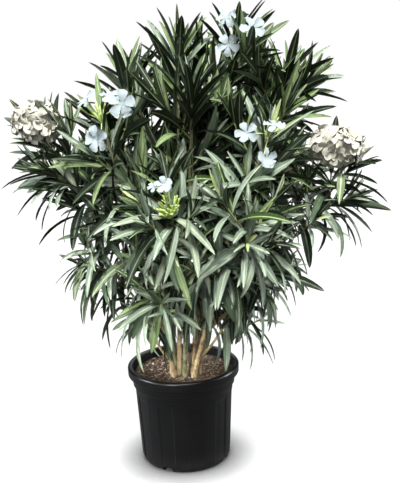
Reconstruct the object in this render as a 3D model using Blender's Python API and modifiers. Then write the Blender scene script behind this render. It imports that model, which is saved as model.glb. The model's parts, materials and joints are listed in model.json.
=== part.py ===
"""Potted oleander: a many-stemmed evergreen shrub with white blossom, in a ribbed plastic nursery pot.

Metres, +Z up. The origin is the middle of the pot's flat underside, and -Y is the plant's best side.
Each stem and bough is one tapering limb, and each mass of leaves is one fused solid at the end of a limb.
"""

import math
import random

import bmesh
import bpy
from mathutils import Matrix, Vector
from mathutils.bvhtree import BVHTree
from mathutils.geometry import interpolate_bezier

GAP = 0.0003  # clearance between pieces that touch
WELD = 0.00001  # vertices nearer than this are one
FUSE_WELD = 0.0000005  # the same, in a mass of leaves
UP = Vector((0.0, 0.0, 1.0))

# ---- Pot ----
RIM_RADIUS = 0.140
POT_HEIGHT = 0.250
LIP_DEPTH = 0.022  # rolled lip, from the top of the rim down
COLLAR_RADIUS = 0.130
COLLAR_DEPTH = 0.025  # plain collar under the lip
BODY_TOP_RADIUS = 0.1230
BODY_LOW_RADIUS = 0.1135
UNDERSIDE_RADIUS = 0.104
FOOT_CHAMFER = 0.016  # height of the sloping foot
FLUTE_TOP = 0.182  # the flutes end here, under a plain band
FLUTE_DEPTH = 0.0025
FLUTE_PAIRS = 10  # raised and sunk panels, in turn
POT_STEPS = 4 * FLUTE_PAIRS  # each panel has a vertex near either edge
PANEL_SLOPE = math.radians(3.0)  # what a step between two panels takes of the circle
INNER_RADIUS = 0.1265  # inside, at the rim
WALL = 0.0035
FLOOR = 0.004
NOTCH_COUNT = 4
NOTCH_FIRST = math.radians(-115.0)
NOTCH_SIZE = (0.050, 0.024, 0.026)  # radial, along the rim, height; half of the height is below ground

# ---- Soil ----
SOIL_TOP = 0.230
SOIL_STEPS = 20
SOIL_CLEARANCE = 0.0005

# ---- Limbs ----
CLUMP = Vector((0.006, -0.030, SOIL_TOP + GAP))  # where the stems leave the soil
CROWN_AXIS = Vector((0.065, 0.0, 0.0))  # the crown leans a little past the pot
INNER_RING = 0.0155  # feet of the tallest stems, round the clump's middle
OUTER_RING = 0.0320  # feet of the other stems
FLARE_HEIGHT = 0.012  # upright piece at the foot of a stem, where it swells
FLARE = 1.18
STEM_RADIUS = 0.0062  # at its foot
BOUGH_SHARE = 0.70  # a bough's thickness at its foot, as a share of its stem's there
TIP_RADIUS = 0.0017  # of every limb's twig, at the growing tip
STEM_SIDES = 8
BOUGH_SIDES = 6
SADDLE_GAP = 0.00035  # between a bough and the stem that it sits on
SADDLE_OFFSET = 0.0010  # a bough starts this far to its own side of the stem's middle
LIMB_STEPS = 16  # points along a limb and the twig that carries it on
SOLID_STEP = 2  # a limb's solid uses every second point
FORK_ANGLE = math.radians(48.0)

# Crown, tier by tier. Each shoot has a bearing in degrees, from +X towards +Y, a reach from the crown's
# axis, and the height of its growing tip. The first two tiers end the stems, and the others are boughs.
TOP = {
    "top_left": (200, 0.050, 1.015),
    "top_right": (15, 0.090, 1.042),
    "top_back": (95, 0.120, 0.985),
    "top_front": (262, 0.130, 0.930),
}
SHOULDER = {
    "left": (178, 0.175, 0.955),
    "right": (358, 0.205, 0.955),
    "back_right": (48, 0.240, 0.910),
    "back_left": (132, 0.240, 0.910),
    "front_left": (208, 0.250, 0.870),
    "front_right": (312, 0.215, 0.830),
}
FLANK = {
    "flank_left": (181, 0.375, 0.825),
    "flank_right": (359, 0.358, 0.740),
    "flank_back_right": (38, 0.325, 0.730),
    "flank_back": (90, 0.310, 0.770),
    "flank_back_left": (142, 0.325, 0.750),
    "flank_front_left": (255, 0.290, 0.715),
    "flank_front_right": (290, 0.290, 0.670),
}
WAIST = {
    "waist_left": (190, 0.285, 0.560),
    "waist_front_left": (243, 0.225, 0.500),
    "waist_front": (278, 0.235, 0.570),
    "waist_front_right": (318, 0.195, 0.520),
    "waist_right": (8, 0.200, 0.550),
    "waist_back_right": (60, 0.230, 0.540),
    "waist_back_left": (128, 0.250, 0.540),
}
SKIRT = {
    "skirt_left": (200, 0.180, 0.410),
    "skirt_right": (325, 0.095, 0.395),
    "skirt_back": (95, 0.130, 0.410),
}
STEM_TIERS = (TOP, SHOULDER)
# Each tier of boughs, with the height at which it leaves its stem and how steeply its tips rise.
BOUGH_TIERS = ((FLANK, 0.425, 1.2), (WAIST, 0.350, 0.6), (SKIRT, 0.285, 0.5))
FORK_STAGGER = 0.025  # boughs of one tier on one stem leave it this far apart

# ---- Foliage ----
SEED = 5
STEM_LEAFY = 0.58  # share of a stem's length that carries leaves
BOUGH_LEAFY = 0.55
BORDER = 0.045  # leaves may reach this far past the middle line between two masses
LIMB_CLEARANCE = 0.0015  # between a leaf and a limb, or another mass's twig
LEAF_CLEARANCE = 0.0005
POT_CLEARANCE = 0.004
WHORL_LEAVES = 3
WHORL_SPACING = 0.046
LEAF_LENGTH = 0.165
LEAF_WIDTH = 0.033
LEAF_THICKNESS = 0.0024
LEAF_WIDEST = 0.44  # where along its length
LEAF_SINK = 0.0012  # a leaf's root is this far past the middle of its twig
LEAF_FREE = 0.06  # leaves of one mass don't cross past this share of their length
# A leaf that doesn't fit is tried again with another size and another angle to its twig.
LEAF_TRIES = (
    (1.0, 1.0),
    (1.0, 0.7),
    (1.0, 1.2),
    (0.85, 1.0),
    (0.85, 0.7),
    (0.7, 1.0),
    (0.7, 1.3),
    (0.55, 0.8),
)
SIDE_TWIGS = 2
SIDE_TWIG_LENGTH = 0.095
SIDE_TWIG_RADIUS = 0.0024  # at its foot
SIDE_TWIG_WHORLS = 2
YOUNG_ANGLE = math.radians(24.0)  # between a leaf and its twig, at the growing tip
OLD_ANGLE = math.radians(78.0)  # and at the foot of the mass
YOUNG_ARCH = math.radians(14.0)  # bend of a leaf from root to tip
OLD_ARCH = math.radians(60.0)
SAG = 1.3  # old leaves low in the crown hang

# ---- Blossom: on the shoots that bloom, how many fused flowers and the bearing that they face ----
HEADS = {
    "top_right": (4, 268),
    "front_left": (4, 258),
    "front_right": (3, 275),
    "flank_left": (6, 215),
    "flank_right": (6, 330),
    "flank_front_left": (1, 260),
    "top_back": (3, 95),
    "flank_back_left": (3, 150),
}
FLOWER_RADIUS = 0.028
FLOWER_DEPTH = 0.045
HEAD_SPREAD = 1.25
GOLDEN_TURN = 2.4
FLOWER_PETALS = 5
FLOWER_NOTCH = 0.52  # radius between two petals, as a share of the flower's


def clear_scene():
    for obj in list(bpy.data.objects):
        bpy.data.objects.remove(obj)


def new_collection(name):
    collection = bpy.data.collections.new(name)
    bpy.context.scene.collection.children.link(collection)
    return collection


def material(name, colour, roughness):
    made = bpy.data.materials.new(name)
    made.use_nodes = True
    shader = made.node_tree.nodes["Principled BSDF"]
    shader.inputs["Base Color"].default_value = (*colour, 1.0)
    shader.inputs["Roughness"].default_value = roughness
    shader.inputs["Metallic"].default_value = 0.0
    return made


def place(mesh, name, collection, look=None):
    obj = bpy.data.objects.new(name, mesh)
    collection.objects.link(obj)
    if look is not None:
        mesh.materials.clear()
        mesh.materials.append(look)
    return obj


def mesh_of(bm, name):
    mesh = bpy.data.meshes.new(name)
    bmesh.ops.recalc_face_normals(bm, faces=bm.faces)
    bm.to_mesh(mesh)
    bm.free()
    return mesh


def evaluated_copy(obj, name, weld=WELD):
    """The object's mesh with its modifiers or curve bevel worked out and its caps welded."""
    graph = bpy.context.evaluated_depsgraph_get()
    mesh = bpy.data.meshes.new_from_object(obj.evaluated_get(graph))
    bm = bmesh.new()
    bm.from_mesh(mesh)
    bmesh.ops.remove_doubles(bm, verts=bm.verts, dist=weld)
    bpy.data.meshes.remove(mesh)
    return mesh_of(bm, name)


# ---------------------------------------------------------------- pot and soil


def pot_inside():
    """Half section of the space inside, from the floor to the foot of the collar."""
    low = BODY_LOW_RADIUS - FLUTE_DEPTH - WALL
    high = BODY_TOP_RADIUS - FLUTE_DEPTH - WALL
    return (
        (0.0, FLOOR),
        (low - 0.012, FLOOR),
        (low, FOOT_CHAMFER - 0.006),
        (high, FLUTE_TOP + 0.006),
    )


def pot_profile():
    """Half section of the pot: up the inside, over the lip, down the outside and back under the floor."""
    lip_low = POT_HEIGHT - LIP_DEPTH
    collar_low = lip_low - COLLAR_DEPTH
    return (
        *pot_inside(),
        (INNER_RADIUS - 0.004, collar_low),
        (INNER_RADIUS, POT_HEIGHT - 0.004),
        (INNER_RADIUS + 0.003, POT_HEIGHT),
        (RIM_RADIUS - 0.004, POT_HEIGHT),
        (RIM_RADIUS, POT_HEIGHT - 0.005),
        (RIM_RADIUS - 0.0005, lip_low),
        (RIM_RADIUS - 0.0045, lip_low - 0.001),
        (COLLAR_RADIUS, lip_low - 0.003),
        (COLLAR_RADIUS - 0.002, collar_low),
        (BODY_TOP_RADIUS, collar_low - 0.004),
        (BODY_TOP_RADIUS - 0.0005, FLUTE_TOP + 0.004),
        (BODY_TOP_RADIUS - 0.0007, FLUTE_TOP),
        (BODY_LOW_RADIUS, FOOT_CHAMFER),
        (UNDERSIDE_RADIUS, 0.0),
        (0.0, 0.0),
    )


def turned(name, profile, steps):
    """The profile turned about Z, closed where it meets the axis."""
    bm = bmesh.new()
    ring = [bm.verts.new((x, 0.0, z)) for x, z in profile]
    for a, b in zip(ring, ring[1:]):
        bm.edges.new((a, b))
    mesh = bpy.data.meshes.new(name)
    bm.to_mesh(mesh)
    bm.free()
    obj = place(mesh, name, bpy.context.scene.collection)
    screw = obj.modifiers.new("Turn", "SCREW")
    screw.steps = steps
    screw.render_steps = steps
    screw.use_merge_vertices = True
    screw.merge_threshold = WELD
    made = evaluated_copy(obj, name)
    bpy.data.objects.remove(obj)
    return made


def flute(mesh):
    """Groups the body's outer vertices into panels and sinks every second panel."""
    step = 2 * math.pi / POT_STEPS
    shift = (step - PANEL_SLOPE) / 2
    for vertex in mesh.vertices:
        radius = math.hypot(vertex.co.x, vertex.co.y)
        if not FOOT_CHAMFER - WELD < vertex.co.z < FLUTE_TOP + WELD:
            continue
        index = round(math.atan2(vertex.co.y, vertex.co.x) / step) % POT_STEPS
        bearing = index * step + (-shift if index % 2 else shift)
        sunk = ((index + 1) // 2) % 2 == 0
        radius -= FLUTE_DEPTH if sunk else 0.0
        vertex.co.x = radius * math.cos(bearing)
        vertex.co.y = radius * math.sin(bearing)


def make_pot(collection, cutters, look):
    mesh = turned("pot", pot_profile(), POT_STEPS)
    flute(mesh)
    pot = place(mesh, "pot", collection, look)
    for n in range(NOTCH_COUNT):
        bearing = NOTCH_FIRST + n * 2 * math.pi / NOTCH_COUNT
        bm = bmesh.new()
        bmesh.ops.create_cube(bm, size=1.0)
        bmesh.ops.scale(bm, verts=bm.verts, vec=NOTCH_SIZE)
        notch = place(mesh_of(bm, "notch"), f"notch_{n + 1}", cutters)
        middle = UNDERSIDE_RADIUS + 0.012
        notch.location = (middle * math.cos(bearing), middle * math.sin(bearing), 0.0)
        notch.rotation_euler.z = bearing
        notch.hide_render = True
        notch.display_type = "WIRE"
        cut = pot.modifiers.new(f"Drain {n + 1}", "BOOLEAN")
        cut.operation = "DIFFERENCE"
        cut.object = notch
    return pot


def make_soil(collection, look):
    """The potting soil fills the pot to a little under its rim, just clear of its wall."""
    wall = [(x - SOIL_CLEARANCE if x else x, z + GAP) for x, z in pot_inside()]
    profile = ((0.0, SOIL_TOP), (INNER_RADIUS - SOIL_CLEARANCE - 0.004, SOIL_TOP), *reversed(wall))
    return place(turned("soil", profile, SOIL_STEPS), "soil", collection, look)


# ---------------------------------------------------------------------- limbs


def bearing_vector(degrees):
    angle = math.radians(degrees)
    return Vector((math.cos(angle), math.sin(angle), 0.0))


class Limb:
    """A stem or bough, and the leafy twig that carries it on to its growing tip, along one curve."""

    def __init__(self, name, bearing, tip, points, foot_radius, leafy):
        self.name = name
        self.bearing = bearing
        self.tip = tip
        self.points = points
        self.leafy_from = round((len(points) - 1) * (1.0 - leafy))  # the leaves begin at this point
        self.foot_radius = foot_radius
        self.parent = None

    def tangent(self, index):
        before = self.points[max(index - 1, 0)]
        after = self.points[min(index + 1, len(self.points) - 1)]
        return (after - before).normalized()

    def radius(self, index):
        """Thickness falls evenly from the foot to the growing tip."""
        share = index / (len(self.points) - 1)
        return self.foot_radius + (TIP_RADIUS - self.foot_radius) * share


def tip_position(bearing, reach, height):
    return CROWN_AXIS + bearing_vector(bearing) * reach + UP * height


def stem(name, bearing, reach, height, ring):
    """A stem swells at the soil, rises steeply and arches outwards."""
    foot = CLUMP + bearing_vector(bearing) * ring
    tip = tip_position(bearing, reach, height)
    start = foot + UP * FLARE_HEIGHT
    length = (tip - start).length
    outwards = (tip - start).to_2d().to_3d() / length
    leave = (UP + outwards * 0.9).normalized()
    arrive = (UP + outwards * 1.1).normalized()
    handles = (start + leave * length * 0.33, tip - arrive * length * 0.33)
    points = [foot, *interpolate_bezier(start, *handles, tip, LIMB_STEPS)]
    return Limb(name, bearing, tip, points, STEM_RADIUS, STEM_LEAFY)


def bough(name, bearing, reach, height, parent, fork_height, rise):
    """A bough leaves its stem's side at a wide angle and curves up to its tip."""
    tip = tip_position(bearing, reach, height)
    fork = next(i for i, point in enumerate(parent.points) if point.z > fork_height)
    below, above = parent.points[fork - 1], parent.points[fork]
    middle = below.lerp(above, (fork_height - below.z) / (above.z - below.z))
    along = (above - below).normalized()
    towards = tip - middle
    side = (towards - along * towards.dot(along)).normalized()
    leave = along * math.cos(FORK_ANGLE) + side * math.sin(FORK_ANGLE)
    start = middle + side * SADDLE_OFFSET
    length = (tip - start).length
    arrive = (UP * rise + bearing_vector(bearing)).normalized()
    handles = (start + leave * length * 0.35, tip - arrive * length * 0.35)
    points = interpolate_bezier(start, *handles, tip, LIMB_STEPS)
    limb = Limb(name, bearing, tip, points, parent.radius(fork) * BOUGH_SHARE, BOUGH_LEAFY)
    limb.parent = parent
    return limb


def turn_between(a, b):
    """The angle between two bearings, from 0 to 180 degrees."""
    return abs((a - b + 180) % 360 - 180)


def grow_limbs():
    """All stems, and the boughs that leave the stem nearest to them in bearing."""
    stems = []
    for tier, ring in zip(STEM_TIERS, (INNER_RING, OUTER_RING)):
        stems += [stem(name, *shoot, ring) for name, shoot in tier.items()]
    outer = stems[len(TOP):]
    boughs = []
    for tier, fork_height, rise in BOUGH_TIERS:
        used = {limb.name: 0 for limb in outer}
        for name, shoot in tier.items():
            parent = min(outer, key=lambda limb: turn_between(limb.bearing, shoot[0]))
            lift = used[parent.name] * FORK_STAGGER
            used[parent.name] += 1
            boughs.append(bough(name, *shoot, parent, fork_height + lift, rise))
    return stems, boughs


# --------------------------------------------------------------------- spaces


def distance_to_segment(point, segment):
    start, end = segment
    run = end - start
    share = (point - start).dot(run) / run.length_squared
    return (start + run * min(max(share, 0.0), 1.0) - point).length


class Space:
    """The part of the crown round a mass's own axis: from where its leaves begin to past its growing tip."""

    def __init__(self, limb):
        last = len(limb.points) - 1
        self.axis = (limb.points[limb.leafy_from], limb.tip + limb.tangent(last) * 0.06)
        self.others = []

    def holds(self, points):
        return all(
            distance_to_segment(point, self.axis) < distance_to_segment(point, other) + BORDER
            for point in points
            for other in self.others
        )


class Crowd:
    """What is in the crown so far, as search trees: limbs, twigs and leaves, each with its owner."""

    def __init__(self):
        self.members = []

    def add(self, owner, mesh_data):
        self.members.append((owner, *corners_of_box(mesh_data), BVHTree.FromPolygons(*mesh_data)))

    def crossed_by(self, mesh_data, passing=()):
        """Whether a body's faces cross any member whose owner isn't one of those passed."""
        low, high = corners_of_box(mesh_data)
        tree = BVHTree.FromPolygons(*mesh_data)
        for owner, other_low, other_high, other in self.members:
            apart = any(low[k] > other_high[k] or other_low[k] > high[k] for k in range(3))
            if not apart and owner not in passing and tree.overlap(other):
                return True
        return False


def corners_of_box(mesh_data):
    points = mesh_data[0]
    return [min(p[k] for p in points) for k in range(3)], [max(p[k] for p in points) for k in range(3)]


def mesh_data_of(mesh):
    return [vertex.co.copy() for vertex in mesh.vertices], [list(face.vertices) for face in mesh.polygons]


def over_pot(points):
    """Whether any of these points is in or just over the pot's wall or soil."""
    return any(
        point.z < POT_HEIGHT + POT_CLEARANCE and point.to_2d().length < RIM_RADIUS + POT_CLEARANCE
        for point in points
    )


# -------------------------------------------------------------------- foliage


def around(along, turn):
    """The direction square to this one, at this turn round it."""
    return Matrix.Rotation(turn, 3, along) @ along.orthogonal().normalized()


def tube(name, points, radii, sides=None, profile=None):
    """A tapering limb with flat ends: a curve object with a round bevel or this profile, made a mesh."""
    curve = bpy.data.curves.new(name, "CURVE")
    curve.dimensions = "3D"
    spline = curve.splines.new("POLY")
    spline.points.add(len(points) - 1)
    for point, where, radius in zip(spline.points, points, radii):
        point.co = (*where, 1.0)
        point.radius = radius / radii[0]
    curve.use_fill_caps = True
    if profile is None:
        curve.bevel_depth = radii[0]
        curve.bevel_resolution = (sides - 4) // 2
    else:
        curve.bevel_mode = "OBJECT"
        curve.bevel_object = profile
        for point, radius in zip(spline.points, radii):
            point.radius = radius
    obj = bpy.data.objects.new(name, curve)
    bpy.context.scene.collection.objects.link(obj)
    bpy.context.view_layer.update()
    mesh = evaluated_copy(obj, name)
    bpy.data.objects.remove(obj)
    return mesh


def twig_profile(collection):
    """A triangle of radius 1 m, which a twig's curve scales to its own thickness."""
    curve = bpy.data.curves.new("twig_profile", "CURVE")
    curve.dimensions = "2D"
    spline = curve.splines.new("POLY")
    spline.points.add(2)
    for n, point in enumerate(spline.points):
        angle = 2 * math.pi * n / 3
        point.co = (math.cos(angle), math.sin(angle), 0.0, 1.0)
    spline.use_cyclic_u = True
    obj = bpy.data.objects.new("twig_profile", curve)
    collection.objects.link(obj)
    obj.hide_render = True
    obj.display_type = "WIRE"
    return obj


def leaf_shape(length, width, arch, extra=0.0):
    """A lance-shaped blade with a keel under its midrib, from its root at the origin along +X.

    It starts as a sphere of two rings and three sides: its poles are the root and the tip, and the three
    vertices between are the two edges and the keel. The upper face is to +Z. Extra makes it stouter all
    round, with a fourth vertex over the midrib.
    """
    bm = bmesh.new()
    bmesh.ops.create_uvsphere(bm, u_segments=4 if extra else 3, v_segments=2, radius=1.0)
    for vertex in bm.verts:
        side, under, pole = vertex.co
        if abs(pole) > 0.5:
            share, across, lift = (0.0, 0.0, 0.0) if pole > 0 else (1.0, 0.0, 0.0)
        elif abs(side) > 0.5:
            share, across, lift = LEAF_WIDEST, math.copysign(width / 2 + 2 * extra, side), 0.0
        elif under > 0:
            share, across, lift = LEAF_WIDEST, 0.0, -LEAF_THICKNESS - extra
        else:
            share, across, lift = LEAF_WIDEST, 0.0, 2 * extra
        bend = arch * share
        run = length * share * math.cos(bend / 2)
        drop = length * share * math.sin(bend / 2)
        vertex.co = (run, across, lift - drop)
    return bm


def face_list(bm):
    bm.verts.index_update()
    return [[vertex.index for vertex in face.verts] for face in bm.faces]


class Mass:
    """A mass of leaves: twigs that branch by a seeded rule from one stem, with leaves and blossom on them."""

    def __init__(self, limb, crowd, profile, seed):
        self.limb = limb
        self.crowd = crowd
        self.profile = profile
        self.rng = random.Random(seed)
        self.pieces = bpy.data.collections.new("pieces_" + limb.name)
        bpy.context.scene.collection.children.link(self.pieces)
        self.spin = self.rng.uniform(0, math.tau)
        self.leaves = 0
        self.side_twigs = []

    def grow_main_twig(self):
        """The twig that carries the limb on to its growing tip."""
        limb = self.limb
        last = len(limb.points) - 1
        first = limb.leafy_from
        steps = [first, *range(first + 2 - (last - first) % 2, last + 1, 2)]
        points = [limb.points[i] for i in steps]
        points[0] += (points[1] - points[0]).normalized() * GAP
        self.trunk = tube(limb.name, points, [limb.radius(i) for i in steps], profile=self.profile)
        self.crowd.add(limb.name, mesh_data_of(self.trunk))

    def branch(self):
        """Short side twigs that turn up."""
        limb = self.limb
        first = limb.leafy_from
        for n in range(SIDE_TWIGS):
            index = round(first + (len(limb.points) - 1 - first) * (0.20 + 0.26 * n))
            along = limb.tangent(index)
            side = around(along, self.spin + 0.5 + n * 2 * math.pi / SIDE_TWIGS)
            self.grow_side_twig(limb.points[index], (along * 0.65 + side * 0.75).normalized())

    def grow_side_twig(self, root, leave):
        length = SIDE_TWIG_LENGTH * self.rng.uniform(0.85, 1.15)
        bend = root + leave * length * 0.5
        end = root + leave * length * 0.9 + UP * length * 0.2
        radii = [SIDE_TWIG_RADIUS, (SIDE_TWIG_RADIUS + TIP_RADIUS) / 2, TIP_RADIUS]
        mesh = tube("twig", [root, bend, end], radii, profile=self.profile)
        data = mesh_data_of(mesh)
        if self.fits(data):
            self.crowd.add(self.limb.name, data)
            place(mesh, "twig", self.pieces)
            self.side_twigs.append((bend, end))

    def fits(self, data):
        """Whether a body keeps to the mass's space, off the pot and clear of every other limb and mass."""
        in_space = self.limb.space.holds(data[0]) and not over_pot(data[0])
        return in_space and not self.crowd.crossed_by(data, (self.limb.name,))

    def grow_leaf(self, root, along, side, angle, length, width, arch):
        """A leaf, bent or shortened where it would leave its space or touch another, or none."""
        for size, lean in LEAF_TRIES:
            turned = angle * lean
            direction = (along * math.cos(turned) + side * math.sin(turned)).normalized()
            direction = (direction - UP * self.sag).normalized()
            across = along.cross(direction).normalized()
            facing = Matrix((direction, across, direction.cross(across))).transposed().to_4x4()
            where = Matrix.Translation(root - direction * LEAF_SINK) @ facing
            sizes = (length * size, width * (0.6 + 0.4 * size), arch)
            stout = leaf_shape(*sizes, LEAF_CLEARANCE)
            bmesh.ops.transform(stout, matrix=where, verts=stout.verts)
            points = [vertex.co.copy() for vertex in stout.verts]
            base = min(points, key=lambda point: (point - root).length)
            tip = max(points, key=lambda point: (point - root).length)
            freed = [point.lerp(tip, LEAF_FREE) if point is base else point for point in points]
            faces = face_list(stout)
            stout.free()
            if self.fits((points, faces)) and not self.crowd.crossed_by((freed, faces)):
                self.crowd.add(self.limb.name, (points, faces))
                bm = leaf_shape(*sizes)
                bmesh.ops.transform(bm, matrix=where, verts=bm.verts)
                place(mesh_of(bm, "leaf"), "leaf", self.pieces)
                self.leaves += 1
                return

    def grow_whorl(self, root, along, spin, age):
        """Three leaves round a twig. Age is 0 at the growing tip and 1 at the foot of the mass."""
        self.sag = SAG * age * (1.0 - min(root.z, 1.0))
        for n in range(WHORL_LEAVES):
            side = around(along, spin + n * 2 * math.pi / WHORL_LEAVES)
            angle = YOUNG_ANGLE + (OLD_ANGLE - YOUNG_ANGLE) * age + self.rng.uniform(-0.12, 0.12)
            length = LEAF_LENGTH * (0.78 + 0.22 * min(1.0, 3 * age)) * self.rng.uniform(0.92, 1.08)
            arch = (YOUNG_ARCH + (OLD_ARCH - YOUNG_ARCH) * age) * self.rng.uniform(0.8, 1.2)
            width = LEAF_WIDTH * self.rng.uniform(0.92, 1.08)
            self.grow_leaf(root, along, side, angle, length, width, arch)

    def leaf_out(self):
        """Whorls down the main twig from its growing tip, and at the ends of the side twigs."""
        limb = self.limb
        last = len(limb.points) - 1
        leafy = limb.points[limb.leafy_from:]
        length = sum((b - a).length for a, b in zip(leafy, leafy[1:]))
        whorls = max(3, round(length / WHORL_SPACING))
        for n in range(whorls):
            age = n / whorls
            where = last - age * (last - limb.leafy_from) * 0.95
            index = min(int(where), last - 1)
            root = limb.points[index].lerp(limb.points[index + 1], where - index)
            along = limb.tangent(round(where))
            self.grow_whorl(root - along * TIP_RADIUS, along, self.spin + n * math.pi / 3, age)
        for bend, end in self.side_twigs:
            along = (end - bend).normalized()
            for n in range(SIDE_TWIG_WHORLS):
                root = end.lerp(bend, 0.8 * n) - along * TIP_RADIUS
                self.grow_whorl(root, along, self.rng.uniform(0, math.tau), 0.35 * n)

    def bloom(self, count, bearing):
        """A head of flowers that spread from the growing tip and face one way, more or less."""
        limb = self.limb
        along = limb.tangent(len(limb.points) - 1)
        middle = (along * 0.6 + bearing_vector(bearing) * 0.6).normalized()
        root = limb.tip - along * TIP_RADIUS
        for n in range(count):
            spread = HEAD_SPREAD * math.sqrt(n / max(count, 4))
            facing = (middle + around(middle, n * GOLDEN_TURN) * spread).normalized()
            bm = flower_shape()
            towards = facing.to_track_quat("Z", "Y").to_matrix().to_4x4()
            bmesh.ops.transform(bm, matrix=Matrix.Translation(root) @ towards, verts=bm.verts)
            data = ([vertex.co.copy() for vertex in bm.verts], face_list(bm))
            if self.fits(data):
                self.crowd.add(limb.name, data)
                place(mesh_of(bm, "flower"), "flower", self.pieces)
            else:
                bm.free()

    def fuse(self, collection, look):
        """The main twig joined with every piece, as one closed body."""
        name = "foliage_" + self.limb.name
        trunk = place(self.trunk, name + "_twig", collection)
        union = trunk.modifiers.new("Fuse", "BOOLEAN")
        union.operation = "UNION"
        union.operand_type = "COLLECTION"
        union.collection = self.pieces
        union.solver = "EXACT"
        bpy.context.view_layer.update()
        mesh = evaluated_copy(trunk, name, FUSE_WELD)
        for piece in [*self.pieces.objects, trunk]:
            bpy.data.objects.remove(piece)
        bpy.data.collections.remove(self.pieces)
        keep_one_body(mesh)
        print(name, "leaves", self.leaves, "triangles", len(mesh.polygons))
        return place(mesh, name, collection, look)


def flower_shape():
    """A funnel from its root at the origin along +Z, which opens into five petals."""
    bm = bmesh.new()
    bmesh.ops.create_cone(
        bm,
        cap_ends=True,
        segments=2 * FLOWER_PETALS,
        radius1=0.0,
        radius2=FLOWER_RADIUS,
        depth=FLOWER_DEPTH,
    )
    bmesh.ops.translate(bm, verts=bm.verts, vec=(0.0, 0.0, FLOWER_DEPTH / 2))
    for vertex in bm.verts:
        turn = round(math.atan2(vertex.co.y, vertex.co.x) / (math.pi / FLOWER_PETALS))
        if turn % 2:
            vertex.co.x *= FLOWER_NOTCH
            vertex.co.y *= FLOWER_NOTCH
    return bm


def volume_of(faces):
    total = 0.0
    for face in faces:
        corners = [vertex.co for vertex in face.verts]
        for n in range(1, len(corners) - 1):
            total += corners[0].dot(corners[n].cross(corners[n + 1]))
    return total / 6


def keep_one_body(mesh):
    """Drops loose scraps, and fills hollows that the fusing sealed, by keeping only the largest shell."""
    bm = bmesh.new()
    bm.from_mesh(mesh)
    bmesh.ops.triangulate(bm, faces=bm.faces)
    unseen = set(bm.faces)
    shells = []
    while unseen:
        shell = [unseen.pop()]
        for face in shell:
            for edge in face.edges:
                linked = [other for other in edge.link_faces if other in unseen]
                unseen.difference_update(linked)
                shell.extend(linked)
        shells.append(shell)
    largest = max(shells, key=volume_of)
    scraps = [face for shell in shells if shell is not largest for face in shell]
    bmesh.ops.delete(bm, geom=scraps, context="FACES")
    bm.to_mesh(mesh)
    bm.free()


def limb_tube(limb, name, sides, extra=0.0):
    """The bare length of a stem or bough, from its foot to where its leaves begin."""
    is_stem = limb.parent is None
    indices = list(range(limb.leafy_from, 0, -SOLID_STEP))[::-1]
    indices = [0, 1, *[i for i in indices if i > 1]] if is_stem else [0, *indices]
    points = [limb.points[i] for i in indices]
    radii = [limb.radius(i) + extra for i in indices]
    if is_stem:
        radii[0] *= FLARE
    mesh = tube(name, points, radii, sides)
    mesh.shade_smooth()
    mesh.set_sharp_from_angle(angle=math.radians(50))
    return mesh


def make_stem(limb, collection, cutters, look):
    """A stem, and a slightly fatter copy that cuts the saddles of its boughs."""
    name = "stem_" + limb.name
    limb.cutter = place(limb_tube(limb, name + "_cutter", STEM_SIDES, SADDLE_GAP), name + "_cutter", cutters)
    limb.cutter.hide_render = True
    limb.cutter.display_type = "WIRE"
    return place(limb_tube(limb, name, STEM_SIDES), name, collection, look)


def make_bough(limb, collection, look):
    """A bough, cut where it meets its stem so that it sits on the stem's side."""
    name = "bough_" + limb.name
    made = place(limb_tube(limb, name, BOUGH_SIDES), name, collection, look)
    saddle = made.modifiers.new("Saddle", "BOOLEAN")
    saddle.operation = "DIFFERENCE"
    saddle.object = limb.parent.cutter
    return made


def main():
    clear_scene()
    plant = new_collection("potted_oleander")
    cutters = new_collection("cutters")
    black_plastic = material("black_plastic", (0.018, 0.019, 0.021), 0.45)
    soil = material("soil", (0.085, 0.052, 0.034), 0.95)
    bark = material("bark", (0.36, 0.27, 0.17), 0.80)
    foliage = material("foliage", (0.075, 0.130, 0.055), 0.48)

    make_pot(plant, cutters, black_plastic)
    make_soil(plant, soil)

    stems, boughs = grow_limbs()
    limbs = stems + boughs
    for limb in stems:
        make_stem(limb, plant, cutters, bark)
    for limb in boughs:
        make_bough(limb, plant, bark)

    for limb in limbs:
        limb.space = Space(limb)
    crowd = Crowd()
    for limb in limbs:
        limb.space.others = [other.space.axis for other in limbs if other is not limb]
        sides = STEM_SIDES if limb.parent is None else BOUGH_SIDES
        stout = limb_tube(limb, "stout", sides, LIMB_CLEARANCE)
        crowd.add("limb", mesh_data_of(stout))
        bpy.data.meshes.remove(stout)
    profile = twig_profile(cutters)
    masses = [Mass(limb, crowd, profile, SEED + number) for number, limb in enumerate(limbs)]
    for mass in masses:
        mass.grow_main_twig()
    for mass in masses:
        mass.branch()
    for mass in masses:
        if mass.limb.name in HEADS:
            mass.bloom(*HEADS[mass.limb.name])
        mass.leaf_out()
    for mass in masses:
        mass.fuse(plant, foliage)
    print("leaves in all", sum(mass.leaves for mass in masses))


main()
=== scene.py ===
import json
import math
import random

import bmesh
import bpy
import numpy as np
from mathutils import Matrix, Vector, noise
from mathutils.geometry import interpolate_bezier

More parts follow.
